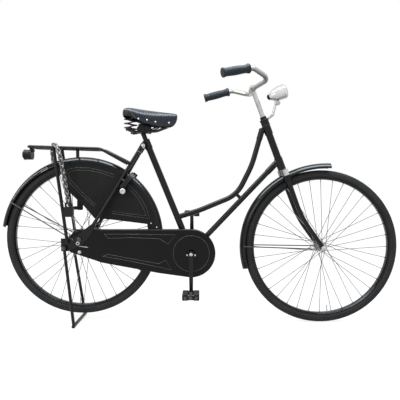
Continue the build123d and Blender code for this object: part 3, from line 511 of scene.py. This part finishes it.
def makeSpokes(wheel, part):
    wires = bmesh.new()
    nipples = bmesh.new()
    for number in range(spoke["count"]):
        side = 1 if number % 2 else -1
        lead = 1 if (number // 2) % 2 else -1
        turn = number * 360.0 / spoke["count"]
        faceY = side * (part["flangeY"] + lead * (spoke["wall"] / 2 + spoke["radius"]))
        hole = part["flangeRadius"] - spoke["inset"]
        low = around(part["centre"], hole, turn + lead * spoke["cross"], faceY)
        high = around(part["centre"], spoke["rimRadius"], turn, side * spoke["rimY"])
        line = (high - low).normalized()
        layRod(wires, low, high, spoke["radius"], sides=spoke["sides"])
        over = side * (part["flangeY"] - lead * (spoke["wall"] / 2 + spoke["headOver"]))
        headEnd = Vector((low.x, over / 1000, low.z))
        layRod(wires, low, headEnd, spoke["radius"], sides=spoke["sides"])
        headTop = headEnd + (headEnd - low).normalized() * spoke["headHigh"] / 1000
        layRod(wires, headEnd, headTop, spoke["head"], spoke["head"] * spoke["headTip"], spoke["sides"])
        foot = high - line * spoke["nipple"] / 1000
        layRod(nipples, foot, high, spoke["nippleRadius"] * spoke["nippleFoot"], spoke["nippleRadius"], 6)
    body = wheel + "_wheel"
    addPiece(wheel + "_spoke_wires", wires, body, "spoke", [wheel + "_spokes"])
    addPiece(wheel + "_nipples", nipples, body, "spoke")


def makeValve(wheel, part):
    shape = bmesh.new()
    root = around(part["centre"], valve["root"], part["valveTurn"], 0)
    inward = (spot(part["centre"][0], 0, part["centre"][1]) - root).normalized()
    turnRound(shape, valve["profile"], root, inward, valve["steps"])
    addPiece(wheel + "_valve", shape, wheel + "_wheel", "chrome")


for wheel, part in wheelParts.items():
    makeTyre(wheel, part["centre"])
    makeSpokes(wheel, part)
    makeValve(wheel, part)
print("wheels made")

# saddle, places from the saddle clamp

saddle = {
    "clamp": (277.2, 897.9), "thick": 3.6,
    "rows": [(-79.0, 75.0, 52.0, 77.0, 8.0), (-65.0, 99.0, 50.0, 102.0, 16.0),
             (-30.0, 104.0, 48.0, 97.0, 22.0), (9.0, 86.0, 24.0, 92.0, 28.0),
             (73.0, 41.0, 11.0, 83.5, 24.0), (123.0, 27.0, 9.0, 78.0, 18.0),
             (151.0, 22.0, 16.0, 74.5, 15.0), (167.0, 12.0, 47.0, 71.0, 8.0)],  # ahead, half, low, top, crown
    "across": [-1.0, -0.74, -0.4, 0.0, 0.4, 0.74, 1.0],
    "rivets": [(-1.5, 38.5), (34.0, 35.5), (70.0, 30.0), (129.0, 28.0)],  # ahead, up
    "rivetRadius": 4.4, "rivetHigh": 2.6, "beside": 200.0,  # a rivet's place is sought from beside
    "plate": [(-11.0, 21.0, -17.0), (43.0, 29.0, 24.0)],  # low and high corner
    "block": [(-6.0, 0.0, -18.0), (34.0, 20.0, 16.0)], "edge": 3.0,
    "plateBolts": [(4.0, 4.0), (30.0, 8.0)], "boltRadius": 5.6, "wireRadius": 3.2,  # ahead, up
    "wires": [[(20.0, 24.0, -2.0), (52.0, 24.0, 0.0), (74.0, 22.0, 9.0), (90.0, 20.0, 20.0)],
              [(-8.0, 24.0, -12.0), (-30.0, 40.0, -14.0), (-48.5, 72.0, -13.0)]],
    "spring": {"ahead": -48.5, "half": 72.0, "low": -8.0, "coil": 17.4, "wire": 3.1, "turns": 3,
               "pitch": 18.6, "steps": 28, "sides": 10},
}


def fromClamp(ahead, y, up):
    return spot(saddle["clamp"][0] + ahead, y, saddle["clamp"][1] + up)


def makeCover():
    shape = bmesh.new()
    skirt = shape.verts.layers.float.new("skirt")
    chains = []
    for ahead, half, low, top, crown in saddle["rows"]:
        shoulder = top - crown
        places = [(-half, low), (-half, (low + shoulder) / 2)]
        places += [(half * share, shoulder + crown * (1 - share * share)) for share in saddle["across"]]
        places += [(half, (low + shoulder) / 2), (half, low)]
        chain = []
        for y, up in places:
            vert = shape.verts.new(fromClamp(ahead, y, up))
            vert[skirt] = (up - low) + (half - abs(y))
            chain.append(vert)
        chains.append(chain)
    loops = [[shape.edges.new(pair) for pair in zip(chain, chain[1:])] for chain in chains]
    for first, second in zip(loops, loops[1:]):
        bmesh.ops.bridge_loops(shape, edges=first + second)
    shape.faces.new(chains[0])
    shape.faces.new(chains[-1])
    cover = addPiece("saddle_leather", shape, "frame", "leather", ["saddle_cover"], 180.0)
    wall = cover.modifiers.new("wall", "SOLIDIFY")
    wall.thickness = saddle["thick"] / 1000
    wall.offset = -1.0
    smooth = cover.modifiers.new("smooth", "SUBSURF")
    smooth.levels = 3
    smooth.render_levels = 3
    return cover


def makeRivets(cover):
    bpy.context.view_layer.update()
    skin = cover.evaluated_get(bpy.context.evaluated_depsgraph_get())
    shape = bmesh.new()
    for ahead, up in saddle["rivets"]:
        for side in (right, left):
            start = fromClamp(ahead, side.y * saddle["beside"], up)
            found, place, outward = skin.ray_cast(start, -side)[:3]
            if found:
                layDome(shape, place, outward, saddle["rivetRadius"], saddle["rivetHigh"])
    addPiece("saddle_rivets", shape, "frame", "lampChrome")


def makeClamp():
    shape = bmesh.new()
    x, z = saddle["clamp"]
    for side in (-1, 1):
        for corners in (saddle["plate"], saddle["block"]):
            low, high = [(x + ahead, side * y, z + up) for ahead, y, up in corners]
            layBlock(shape, low, high, saddle["edge"])
        for ahead, up in saddle["plateBolts"]:
            place = fromClamp(ahead, side * saddle["plate"][1][1], up)
            layBolt(shape, place, Vector((0, side, 0)), saddle["boltRadius"])
    addPiece("saddle_clamp_plates", shape, "frame", "satinPaint")
    wires = [[(x + ahead, side * y, z + up) for ahead, y, up in line]
             for line in saddle["wires"] for side in (-1, 1)]
    addLines("saddle_wires", wires, saddle["wireRadius"], "frame", "satinPaint")


def makeSprings():
    spring = saddle["spring"]
    shape = bmesh.new()
    for side in (-1, 1):
        foot = fromClamp(spring["ahead"], side * spring["half"], spring["low"])
        start = foot + Vector((spring["coil"] / 1000, 0, 0))
        aim = Matrix.Translation(start) @ Matrix.Rotation(math.pi / 2, 4, "X")
        ring = bmesh.ops.create_circle(shape, segments=spring["sides"], radius=spring["wire"] / 1000,
                                       cap_ends=True, matrix=aim)["verts"]
        bmesh.ops.spin(shape, geom=ringParts(ring), cent=foot, axis=(0, 0, side),
                       angle=2 * math.pi * spring["turns"], steps=spring["steps"] * spring["turns"],
                       dvec=(0, 0, spring["pitch"] / 1000 / spring["steps"]))
    addPiece("saddle_coils", shape, "frame", "satinPaint", ["saddle_springs"], 60.0)


makeRivets(makeCover())
makeClamp()
makeSprings()
print("saddle made")

# bars, grips and lamp

bars = {"stemTop": 299.0, "turn": 10.0,
        "gripBend": (-50.8, 185.9, 39.1), "gripEnd": (-184.8, 212.5, 5.0)}  # mm from the top of the stem
grip = {
    "length": 118.0, "steps": 40,
    "profile": [(-5.0, 11.2), (-5.6, 17.6), (-4.0, 19.9), (-1.0, 20.7), (3.0, 20.5), (7.0, 19.0),
                (11.0, 17.6), (17.0, 17.1), (26.0, 17.3), (42.0, 18.2), (58.0, 18.8), (74.0, 18.8),
                (90.0, 18.2), (102.0, 17.5), (108.0, 17.9), (113.0, 19.5), (118.0, 20.6), (121.0, 20.0),
                (122.4, 17.0), (122.2, 9.0), (121.4, 0.0)],  # along, radius
}
lamp = {
    "start": (860.89, 0.0, 1044.18), "tilt": 22.0, "steps": 56,  # the profiles are along, radius
    "shell": [(0.0, 0.0), (0.0, 7.5), (4.0, 11.4), (9.0, 15.5), (16.0, 20.2), (24.0, 24.5), (33.0, 28.2),
              (42.0, 30.8), (51.0, 32.3), (60.0, 33.0), (76.0, 33.0), (76.6, 33.9), (78.4, 34.2),
              (83.6, 33.4), (86.6, 32.0), (87.8, 30.8), (87.0, 30.0), (78.0, 27.4), (66.0, 21.5),
              (57.0, 13.0), (54.0, 6.0), (53.5, 0.0)],
    "lens": [(86.0, 0.0), (85.8, 16.0), (85.6, 29.4), (87.4, 30.2), (89.4, 28.8), (92.0, 24.0), (94.2, 15.0),
             (95.4, 7.0), (95.8, 0.0)],
    "tail": [(-2.4, 0.0), (-2.2, 4.6), (-0.6, 8.4), (4.6, 13.6), (6.0, 14.3), (6.0, 12.0), (0.0, 6.0),
             (0.0, 0.0)],
    "bulb": [(54.0, 0.0), (54.0, 6.0), (60.0, 6.0), (60.4, 4.6), (66.0, 5.6), (70.0, 4.2), (72.0, 0.0)],
    "knuckle": (908.5, 0.0, 1020.0), "knuckleSteps": 32, "boltY": 6.5, "boltRadius": 4.6,
    "knuckleRing": [(-6.0, 6.2), (-7.0, 7.0), (-7.0, 9.6), (-6.0, 10.6), (6.0, 10.6), (7.0, 9.6), (7.0, 7.0),
                    (6.0, 6.2), (-6.0, 6.2)],
}
turnBar = (Matrix.Translation(onSteer(0)) @ Matrix.Rotation(math.radians(bars["turn"]), 4, steerUp)
           @ Matrix.Translation(-onSteer(0)))


def makeGrip(name, side):
    shape = bmesh.new()
    top = onSteer(bars["stemTop"])
    bend, end = [top + Vector((x, side * y, z)) / 1000 for x, y, z in (bars["gripBend"], bars["gripEnd"])]
    line = (end - bend).normalized()
    turnRound(shape, grip["profile"], end - line * grip["length"] / 1000, line, grip["steps"])
    bmesh.ops.transform(shape, matrix=turnBar, verts=shape.verts)
    addPiece(name + "_rubber", shape, "steering", "grip", [name], 50.0)


def makeLamp():
    tilt = math.radians(lamp["tilt"])
    line = Vector((math.cos(tilt), 0, math.sin(tilt)))
    start = spot(*lamp["start"])
    for name, profile, slot, finish, stands in (
            ("headlamp_shell", "shell", "chrome", "lampChrome", ["headlamp"]),
            ("headlamp_glass", "lens", "clear_glass", "glass", ["headlamp_lens"]),
            ("headlamp_tail", "tail", "black_plastic", "plastic", []),
            ("headlamp_bulb", "bulb", "clear_glass", "glass", [])):
        shape = bmesh.new()
        turnRound(shape, lamp[profile], start, line, lamp["steps"])
        addPiece(name, shape, "steering", finish, stands)
    shape = bmesh.new()
    knuckle = spot(*lamp["knuckle"])
    turnRound(shape, lamp["knuckleRing"], knuckle, left, lamp["knuckleSteps"])
    for side in (right, left):
        layBolt(shape, knuckle + side * lamp["boltY"] / 1000, side, lamp["boltRadius"])
    addPiece("headlamp_knuckle", shape, "steering", "chrome")


headset = {"rings": [(147.0, 21.6, 2.6), (121.5, 20.8, 1.8)],  # up the steering line, radius, half height
           "bore": 17.0, "edge": 1.0, "steps": 40}


def makeHeadsetRings():
    shape = bmesh.new()
    bore, edge = headset["bore"], headset["edge"]
    for along, radius, half in headset["rings"]:
        profile = [(-half, bore), (-half, radius - edge), (edge - half, radius), (half - edge, radius),
                   (half, radius - edge), (half, bore)]
        turnRound(shape, profile, onSteer(along), steerUp, headset["steps"])
    addPiece("headset_rings", shape, "steering", "paint")


makeHeadsetRings()
makeGrip("grip_left", 1)
makeGrip("grip_right", -1)
makeLamp()
print("bars dressed")

# pedals and cranks

pedal = {"in": 101.0, "out": 189.0, "half": 13.0, "middle": 24.0, "pads": 8, "gap": 1.7, "raise": 1.4,
         "edge": 2.6, "padFacing": 0.9, "capY": 193.0, "boltRadius": 4.4, "cap": (8.4, 5.0, 24)}
crankPlace = {"right": (-1, 160.0), "left": (1, 500.0)}  # side, and how high its pedal is
cotter = {"y": 83.0, "up": 4.0, "reach": 21.0, "radius": 4.2, "sides": 16,  # up left, down right
          "nutAhead": 14.5, "nut": (6.4, 4.5), "capY": 93.0, "cap": (7.6, 2.2, 24)}  # radius, height, steps


def makePedal(name, side, up):
    shape = bmesh.new()
    for turn in (-1, 1):
        block = bmesh.new()
        middle = bracket[0] + turn * pedal["middle"]
        flat = pedal["half"] - pedal["raise"]
        corners = [(middle - pedal["half"], side * pedal["in"], up - flat),
                   (middle + pedal["half"], side * pedal["out"], up + flat)]
        layBlock(block, *corners, pedal["edge"])
        low, high = [spot(*corner) for corner in corners]
        size = high - low
        cuts = [(low + left * size.y * number / pedal["pads"], left) for number in range(1, pedal["pads"])]
        cuts.append((low + Vector((size.x / 2, 0, 0)), Vector((1, 0, 0))))
        for place, across in cuts:
            geometry = list(block.verts) + list(block.edges) + list(block.faces)
            bmesh.ops.bisect_plane(block, geom=geometry, plane_co=place, plane_no=across)
        block.normal_update()
        pads = [face for face in block.faces if abs(face.normal.z) > pedal["padFacing"]]
        bmesh.ops.inset_individual(block, faces=pads, thickness=pedal["gap"] / 1000,
                                   depth=pedal["raise"] / 1000, use_even_offset=True)
        mesh = bpy.data.meshes.new(name)
        block.to_mesh(mesh)
        block.free()
        shape.from_mesh(mesh)
        bpy.data.meshes.remove(mesh)
    addPiece("pedal_" + name + "_rubbers", shape, "pedal_" + name + "_body", "pedal",
             ["pedal_" + name + "_blocks"])
    trim = bmesh.new()
    away = Vector((0, side, 0))
    for turn in (-1, 1):
        place = spot(bracket[0] + turn * pedal["middle"], side * pedal["capY"], up)
        layBolt(trim, place, away, pedal["boltRadius"])
    layDome(trim, spot(bracket[0], side * pedal["capY"], up), away, *pedal["cap"])
    addPiece("pedal_" + name + "_caps", trim, "pedal_" + name + "_body", "darkSteel")


def makeCotters():
    shape = bmesh.new()
    ahead = Vector((1, 0, 0))
    for side in (-1, 1):
        middle = spot(bracket[0], side * cotter["y"], bracket[1] + side * cotter["up"])
        half = ahead * cotter["reach"] / 1000
        layRod(shape, middle - half, middle + half, cotter["radius"], sides=cotter["sides"])
        layHex(shape, middle + ahead * cotter["nutAhead"] / 1000, ahead, *cotter["nut"])
        end = spot(bracket[0], side * cotter["capY"], bracket[1])
        layDome(shape, end, Vector((0, side, 0)), *cotter["cap"])
    addPiece("crank_cotters", shape, "crank", "chrome")


for name, (side, up) in crankPlace.items():
    makePedal(name, side, up)
makeCotters()
print("pedals made")

# lines on the chaincase, coat guards and mudguard

lines = {
    "case": [[(112, 419), (228, 419), (436, 416), (403, 373), (364, 398), (228, 403), (132, 400),
              (112, 419)],  # x, z
             [(105, 318), (227, 297), (417, 256), (391, 300), (362, 284), (227, 308), (131, 327),
              (105, 318)]],
    "caseRing": 82.0, "ringSteps": 96, "caseY": -60.0, "wide": 0.75,
    "coat": [[(154, 689), (98, 708), (40, 720), (-19, 722), (-62, 713), (-68, 688), (-58, 662), (-20, 620),
              (15, 585), (62, 545)],
             [(148, 679), (96, 697), (40, 709), (-16, 711), (-50, 703), (-56, 686), (-48, 668), (-12, 628),
              (22, 593), (66, 553)],
             [(221, 643), (256, 608), (285, 567), (303, 531), (315, 487), (143, 511)],
             [(216, 632), (248, 599), (275, 560), (291, 527), (301, 500), (140, 521)]],
    "coatY": 28.4,
    "guard": {"start": 115.5, "steps": 48, "wide": 1.4, "sides": 8,
              "rows": [(361.6, 26.6, 150.0), (353.8, 29.9, 121.0)]},  # radius, half width, end in degrees
}


def makeCaseLines():
    drawn = [[(x, lines["caseY"], z) for x, z in line] for line in lines["case"]]
    ring = []
    for number in range(lines["ringSteps"] + 1):
        angle = 2 * math.pi * number / lines["ringSteps"]
        ring.append((bracket[0] + lines["caseRing"] * math.cos(angle), lines["caseY"],
                     bracket[1] + lines["caseRing"] * math.sin(angle)))
    addLines("chaincase_lines", drawn + [ring], lines["wide"], "frame", "gold")


def makeCoatLines(name, side):
    drawn = [[(x, side * lines["coatY"], z) for x, z in line] for line in lines["coat"]]
    addLines(name + "_lines", drawn, lines["wide"], "frame", "greyLine")


def makeGuardLines():  # one long line, a short one inside it and a cap
    row = lines["guard"]
    shape = bmesh.new()
    middle = spot(rearAxle[0], 0, rearAxle[1])
    for side in (-1, 1):
        starts = [around(rearAxle, radius, row["start"], side * half) for radius, half, end in row["rows"]]
        for start, (radius, half, end) in zip(starts, row["rows"]):
            aim = (start - middle).cross(left).to_track_quat("Z", "Y").to_matrix().to_4x4()
            ring = bmesh.ops.create_circle(shape, segments=row["sides"], radius=row["wide"] / 1000,
                                           cap_ends=True, matrix=Matrix.Translation(start) @ aim)["verts"]
            bmesh.ops.spin(shape, geom=ringParts(ring), cent=middle, axis=right,
                           angle=math.radians(end - row["start"]), steps=row["steps"])
        layRod(shape, *starts, row["wide"], sides=row["sides"])
    addPiece("rear_mudguard_lines", shape, "frame", "white")


makeCaseLines()
makeCoatLines("coat_guard_right", -1)
makeCoatLines("coat_guard_left", 1)
makeGuardLines()
print("lines drawn")

# chain lock

chain = {
    "route": [(-122.0, -45.0, 748.0), (-128.0, -44.0, 824.0), (-88.0, -82.0, 825.0), (-62.0, -82.0, 690.0),
              (-39.5, -86.0, 552.0)],
    "pitch": 15.6, "wire": 3.4, "half": 7.6, "stretch": 6.0, "steps": 12, "sides": 6, "bends": 40,
}


def makeChain():
    curve = bpy.data.curves.new("chain_route", "CURVE")
    curve.dimensions = "3D"
    route = curve.splines.new("NURBS")
    route.points.add(len(chain["route"]) - 1)
    for point, place in zip(route.points, chain["route"]):
        point.co = (*spot(*place), 1)
    route.order_u = 3
    route.use_endpoint_u = True
    curve.resolution_u = chain["bends"]
    drawn = bpy.data.objects.new("chain_route", curve)
    path = [vert.co.copy() for vert in bpy.data.meshes.new_from_object(drawn).vertices]
    bpy.data.objects.remove(drawn)
    link = bmesh.new()
    ring = bmesh.ops.create_circle(link, segments=chain["sides"], radius=chain["wire"] / 1000,
                                   matrix=Matrix.Translation((0, chain["half"] / 1000, 0))
                                   @ Matrix.Rotation(math.pi / 2, 4, "Y"))["verts"]
    bmesh.ops.spin(link, geom=ringParts(ring), cent=(0, 0, 0), axis=(0, 0, 1), angle=2 * math.pi,
                   steps=chain["steps"], use_merge=True)
    for vert in link.verts:
        if abs(vert.co.x) > 1e-5:  # the ends move apart, the middle stays
            vert.co.x += math.copysign(chain["stretch"] / 1000, vert.co.x)
    one = bpy.data.meshes.new("link")
    link.to_mesh(one)
    link.free()
    shape = bmesh.new()
    travelled, due, number = 0.0, chain["pitch"] / 2000, 0
    for here, after in zip(path, path[1:]):
        step = (after - here).length
        while step > 0 and travelled + step >= due:
            centre = here.lerp(after, (due - travelled) / step)
            aim = (after - here).to_track_quat("X", "Z").to_matrix().to_4x4()
            roll = Matrix.Rotation(math.radians(45 + 90 * (number % 2)), 4, "X")  # every other link across
            before = len(shape.verts)
            shape.from_mesh(one)
            shape.verts.ensure_lookup_table()
            bmesh.ops.transform(shape, matrix=Matrix.Translation(centre) @ aim @ roll,
                                verts=shape.verts[before:])
            number += 1
            due += chain["pitch"] / 1000
        travelled += step
    addPiece("lock_chain_links", shape, "frame", "chain", ["lock_chain"])


makeChain()
print("chain laid")

# small fittings

axleNuts = {"nut": (11.2, 8.4), "end": (4.8, 2.0),  # radius, height
            "front": (55.2, 67.0), "rear": (64.2, 76.0),  # how far out the nut and the axle's end are
            "standBolt": (-67.0, 81.5, 357.0), "standRadius": 6.0}


def makeNuts():
    frontNuts, rearNuts = bmesh.new(), bmesh.new()
    for side in (right, left):
        for shape, axle, (nutY, endY) in ((frontNuts, frontAxle, axleNuts["front"]),
                                          (rearNuts, rearAxle, axleNuts["rear"])):
            layHex(shape, spot(axle[0], side.y * nutY, axle[1]), side, *axleNuts["nut"])
            layDome(shape, spot(axle[0], side.y * endY, axle[1]), side, *axleNuts["end"])
        x, y, z = axleNuts["standBolt"]
        layBolt(rearNuts, spot(x, side.y * y, z), side, axleNuts["standRadius"])
    addPiece("front_axle_nuts", frontNuts, "steering", "chrome")
    addPiece("rear_axle_nuts", rearNuts, "frame", "darkSteel")


slope = {"ends": [(109.5, 58.4, 800.2), (220.0, 44.3, 740.1)], "radii": (6.5, 8.8), "sides": 20}


def makeSlopeSleeves():  # the carrier's front legs swell towards the seat stays
    shape = bmesh.new()
    for side in (-1, 1):
        top, low = [spot(x, side * y, z) for x, y, z in slope["ends"]]
        layRod(shape, top, low, *slope["radii"], slope["sides"])
    addPiece("carrier_slope_sleeves", shape, "frame", "satinPaint")


seatCluster = {
    "bolt": (288.5, 37.5, 821.0), "boltRadius": 6.6,
    "ends": [(288.0, 28.5, 829.5), (267.5, 31.0, 796.0)], "steps": 28,  # top and ring of a sleeve
    "sleeve": [(-9.0, 0.0), (-8.0, 4.5), (-4.5, 8.2), (0.0, 9.8), (8.0, 10.2), (40.0, 9.6), (40.0, 0.0)],
    "ring": [(-1.8, 8.2), (-1.8, 9.7), (-1.0, 10.2), (1.0, 10.2), (1.8, 9.7), (1.8, 8.2)],
}


def makeSeatCluster():
    bolts, sleeves, rings = bmesh.new(), bmesh.new(), bmesh.new()
    for side in (right, left):
        x, y, z = seatCluster["bolt"]
        layBolt(bolts, spot(x, side.y * y, z), side, seatCluster["boltRadius"])
        top, low = [spot(x, side.y * y, z) for x, y, z in seatCluster["ends"]]
        line = (low - top).normalized()
        turnRound(sleeves, seatCluster["sleeve"], top, line, seatCluster["steps"])
        turnRound(rings, seatCluster["ring"], low, line, seatCluster["steps"])
    addPiece("seat_bolts", bolts, "frame", "chrome")
    addPiece("stay_sleeves", sleeves, "frame", "paint")
    addPiece("stay_rings", rings, "frame", "spoke")


caseFittings = {
    "bolt": (-1.0, -60.0, 337.0), "boltRadius": 5.5, "eye": (-8.0, -60.0, 377.0), "eyeSteps": 36,
    "eyeRing": [(-2.0, 3.6), (3.4, 3.6), (4.6, 4.8), (4.8, 7.6), (3.6, 9.2), (1.4, 9.8), (-2.0, 9.8),
                (-2.0, 3.6)],
    "rod": [(-7.0, -62.0, 365.5), (39.0, -62.0, 358.5)], "rodRadius": 1.8, "rodSides": 12,
    "cap": [(-49.0, -59.6, 402.0), (-21.0, -59.6, 435.0), (39.0, -59.6, 435.0), (39.0, -59.6, 402.0)],
    "capHigh": 1.6, "capEdge": 0.9,
}


def makeCaseFittings():
    shape = bmesh.new()
    layBolt(shape, spot(*caseFittings["bolt"]), right, caseFittings["boltRadius"])
    turnRound(shape, caseFittings["eyeRing"], spot(*caseFittings["eye"]), right, caseFittings["eyeSteps"])
    low, high = [spot(*place) for place in caseFittings["rod"]]
    layRod(shape, low, high, caseFittings["rodRadius"], sides=caseFittings["rodSides"])
    addPiece("chaincase_bolts", shape, "frame", "chrome")
    cap = bmesh.new()
    face = cap.faces.new([cap.verts.new(spot(*place)) for place in caseFittings["cap"]])
    made = bmesh.ops.extrude_face_region(cap, geom=[face])["geom"]
    raised = [item for item in made if isinstance(item, bmesh.types.BMVert)]
    bmesh.ops.translate(cap, vec=right * caseFittings["capHigh"] / 1000, verts=raised)
    bmesh.ops.recalc_face_normals(cap, faces=cap.faces)
    roundOff(cap, raised, caseFittings["capEdge"])
    addPiece("chaincase_cap", cap, "frame", "casePaint")


lockFittings = {
    "knob": (198.0, -63.0, 614.0), "knobSteps": 36,
    "knobShape": [(-9.0, 0.0), (-9.0, 11.0), (0.0, 11.0), (1.6, 13.2), (4.0, 13.4), (6.0, 12.0), (7.2, 8.8),
                  (6.6, 5.0), (5.4, 4.2), (5.4, 0.0)],
    "clip": [[(-64.0, 60.0, 523.0), (-18.0, 74.0, 540.0)], [(-44.0, 59.0, 521.0), (-16.0, 75.0, 571.0)]],
    "clipEdge": 6.0, "clipSteps": 3,
    "guardRivets": [(322.0, 28.4, 465.0), (348.5, 30.6, 446.4)], "rivet": (4.2, 2.0),  # radius, height
}


def makeLockFittings():  # the ring lock's knob, a strut's clip and the coat guards' rivets
    knob = bmesh.new()
    turnRound(knob, lockFittings["knobShape"], spot(*lockFittings["knob"]), right, lockFittings["knobSteps"])
    addPiece("ring_lock_knob", knob, "frame", "chrome")
    clip = bmesh.new()
    for low, high in lockFittings["clip"]:
        layBlock(clip, low, high, lockFittings["clipEdge"], lockFittings["clipSteps"])
    addPiece("strut_clip", clip, "frame", "plastic")
    rivets = bmesh.new()
    for x, y, z in lockFittings["guardRivets"]:
        for side in (right, left):
            layDome(rivets, spot(x, side.y * y, z), side, *lockFittings["rivet"])
    addPiece("coat_guard_rivets", rivets, "frame", "chrome")


makeNuts()
makeSlopeSleeves()
makeSeatCluster()
makeCaseFittings()
makeLockFittings()
print("fittings made")

# tail lamp glass and rim

tailLamp = {
    "back": (-265.0, 0.0, 783.0), "steps": 40,  # the profiles are along, radius
    "lens": [(0.0, 0.0), (0.0, 21.0), (1.6, 21.1), (4.2, 20.2), (7.2, 17.4), (9.2, 11.0), (9.9, 0.0)],
    "rim": [(-4.0, 22.4), (-4.0, 23.6), (-1.0, 24.2), (1.6, 24.0), (2.2, 22.4), (2.2, 20.8), (-1.0, 20.8),
            (-4.0, 22.4)],
}


def makeTailLamp():
    back = spot(*tailLamp["back"])
    for name, profile, slot, finish, stands in (
            ("tail_lamp_glass", "lens", "red_lens", "redLens", ["tail_lamp_lens"]),
            ("tail_lamp_rim", "rim", "black_plastic", "plastic", [])):
        shape = bmesh.new()
        turnRound(shape, tailLamp[profile], back, Vector((-1, 0, 0)), tailLamp["steps"])
        addPiece(name, shape, "frame", finish, stands)


makeTailLamp()
print("tail lamp made")

# floor, light and camera

stage = {"floorHalf": 40.0, "floorColour": (0.42, 0.42, 0.42), "floorCloud": (0.4, 0.4, 0.4),
         "floorGlow": 0.8, "worldLight": 0.62}
lamps = [
    {"name": "strip", "place": (0.1, -0.75, 2.5), "aim": (0.05, 0.0, 0.7), "size": (3.4, 0.22), "power": 22.0,
     "colour": (0.80, 0.90, 1.0), "diffuse": True},
    {"name": "side", "place": (-2.2, -2.6, 1.9), "aim": (0.0, 0.0, 0.5), "size": (1.4, 1.4), "power": 22.0,
     "colour": (1.0, 1.0, 1.0), "diffuse": True},
    {"name": "ceiling", "place": (-0.2, -0.2, 2.2), "aim": (-0.2, -0.2, 0.0), "size": (2.8, 0.75),
     "power": 115.0, "colour": (0.78, 0.90, 1.0), "diffuse": False},  # pale, shows only in gloss
]
camera = {"place": (0.0101, -2.0854, 0.6559), "pitch": -2.31, "yaw": 0.14, "roll": 0.05,  # degrees
          "lens": 40.284, "sensor": 36.0}


def seen(s):  # 1 where the camera, a reflection or a lens looks straight at it
    total = s.node("LightPath", {}, {}, "Is Camera Ray") + s.node("LightPath", {}, {}, "Is Glossy Ray")
    total = total + s.node("LightPath", {}, {}, "Is Transmission Ray")
    return s.sum("MINIMUM", total, 1.0)


def floorFinish(s):
    place = onObject(s)
    cloud = noise(s, place, 0.6, 2.0)
    colour = tint(s, cloud * 0.1, stage["floorColour"], stage["floorCloud"])
    matt = s.node("BsdfDiffuse", {}, {"Color": colour})
    glow = s.node("Emission", {}, {"Color": (1, 1, 1, 1), "Strength": seen(s) * stage["floorGlow"]})
    return s.node("AddShader", {}, {0: matt, 1: glow})


platedFinishes = ["chrome", "barChrome", "lampChrome", "steel", "darkSteel", "spoke", "chain", "glass"]


def unplated():  # pieces that the ceiling shows in
    group = bpy.data.collections.new("under_ceiling")
    bright = [finishes[name] for name in platedFinishes]
    for piece in bpy.context.scene.objects:
        if piece.type == "MESH" and not any(place.material in bright for place in piece.material_slots):
            group.objects.link(piece)
    return group


def makeStage():
    shape = bmesh.new()
    bmesh.ops.create_grid(shape, x_segments=2, y_segments=2, size=stage["floorHalf"])
    mesh = bpy.data.meshes.new("floor")
    shape.to_mesh(mesh)
    shape.free()
    mesh.materials.append(makeFinish("pale_floor", floorFinish))
    floor = bpy.data.objects.new("floor", mesh)
    bpy.context.scene.collection.objects.link(floor)
    world = bpy.data.worlds.new("studio")
    world.use_nodes = True
    world.node_tree.nodes.clear()
    s = Socket(world.node_tree)
    strength = seen(s) * (1 - stage["worldLight"]) + stage["worldLight"]
    sky = s.node("Background", {}, {"Color": (1, 1, 1, 1), "Strength": strength})
    s.node("OutputWorld", {}, {"Surface": sky})
    bpy.context.scene.world = world
    for row in lamps:
        light = bpy.data.lights.new(row["name"], "AREA")
        light.shape = "RECTANGLE"
        light.size, light.size_y = row["size"]
        light.energy = row["power"]
        light.color = row["colour"]
        held = bpy.data.objects.new(row["name"], light)
        held.visible_diffuse = row["diffuse"]
        held.visible_camera = False
        if not row["diffuse"]:
            held.light_linking.receiver_collection = unplated()
        held.location = row["place"]
        held.rotation_euler = (Vector(row["aim"]) - Vector(row["place"])).to_track_quat("-Z", "Y").to_euler()
        bpy.context.scene.collection.objects.link(held)
    eye = bpy.data.cameras.new("eye")
    eye.lens = camera["lens"]
    eye.sensor_width = camera["sensor"]
    held = bpy.data.objects.new("eye", eye)
    held.location = camera["place"]
    turns = (90 + camera["pitch"], camera["roll"], camera["yaw"])
    held.rotation_euler = [math.radians(turn) for turn in turns]
    bpy.context.scene.collection.objects.link(held)
    bpy.context.scene.camera = held
    bpy.context.scene.view_settings.view_transform = "Standard"


makeStage()
print("stage set")

bpy.context.view_layer.update()
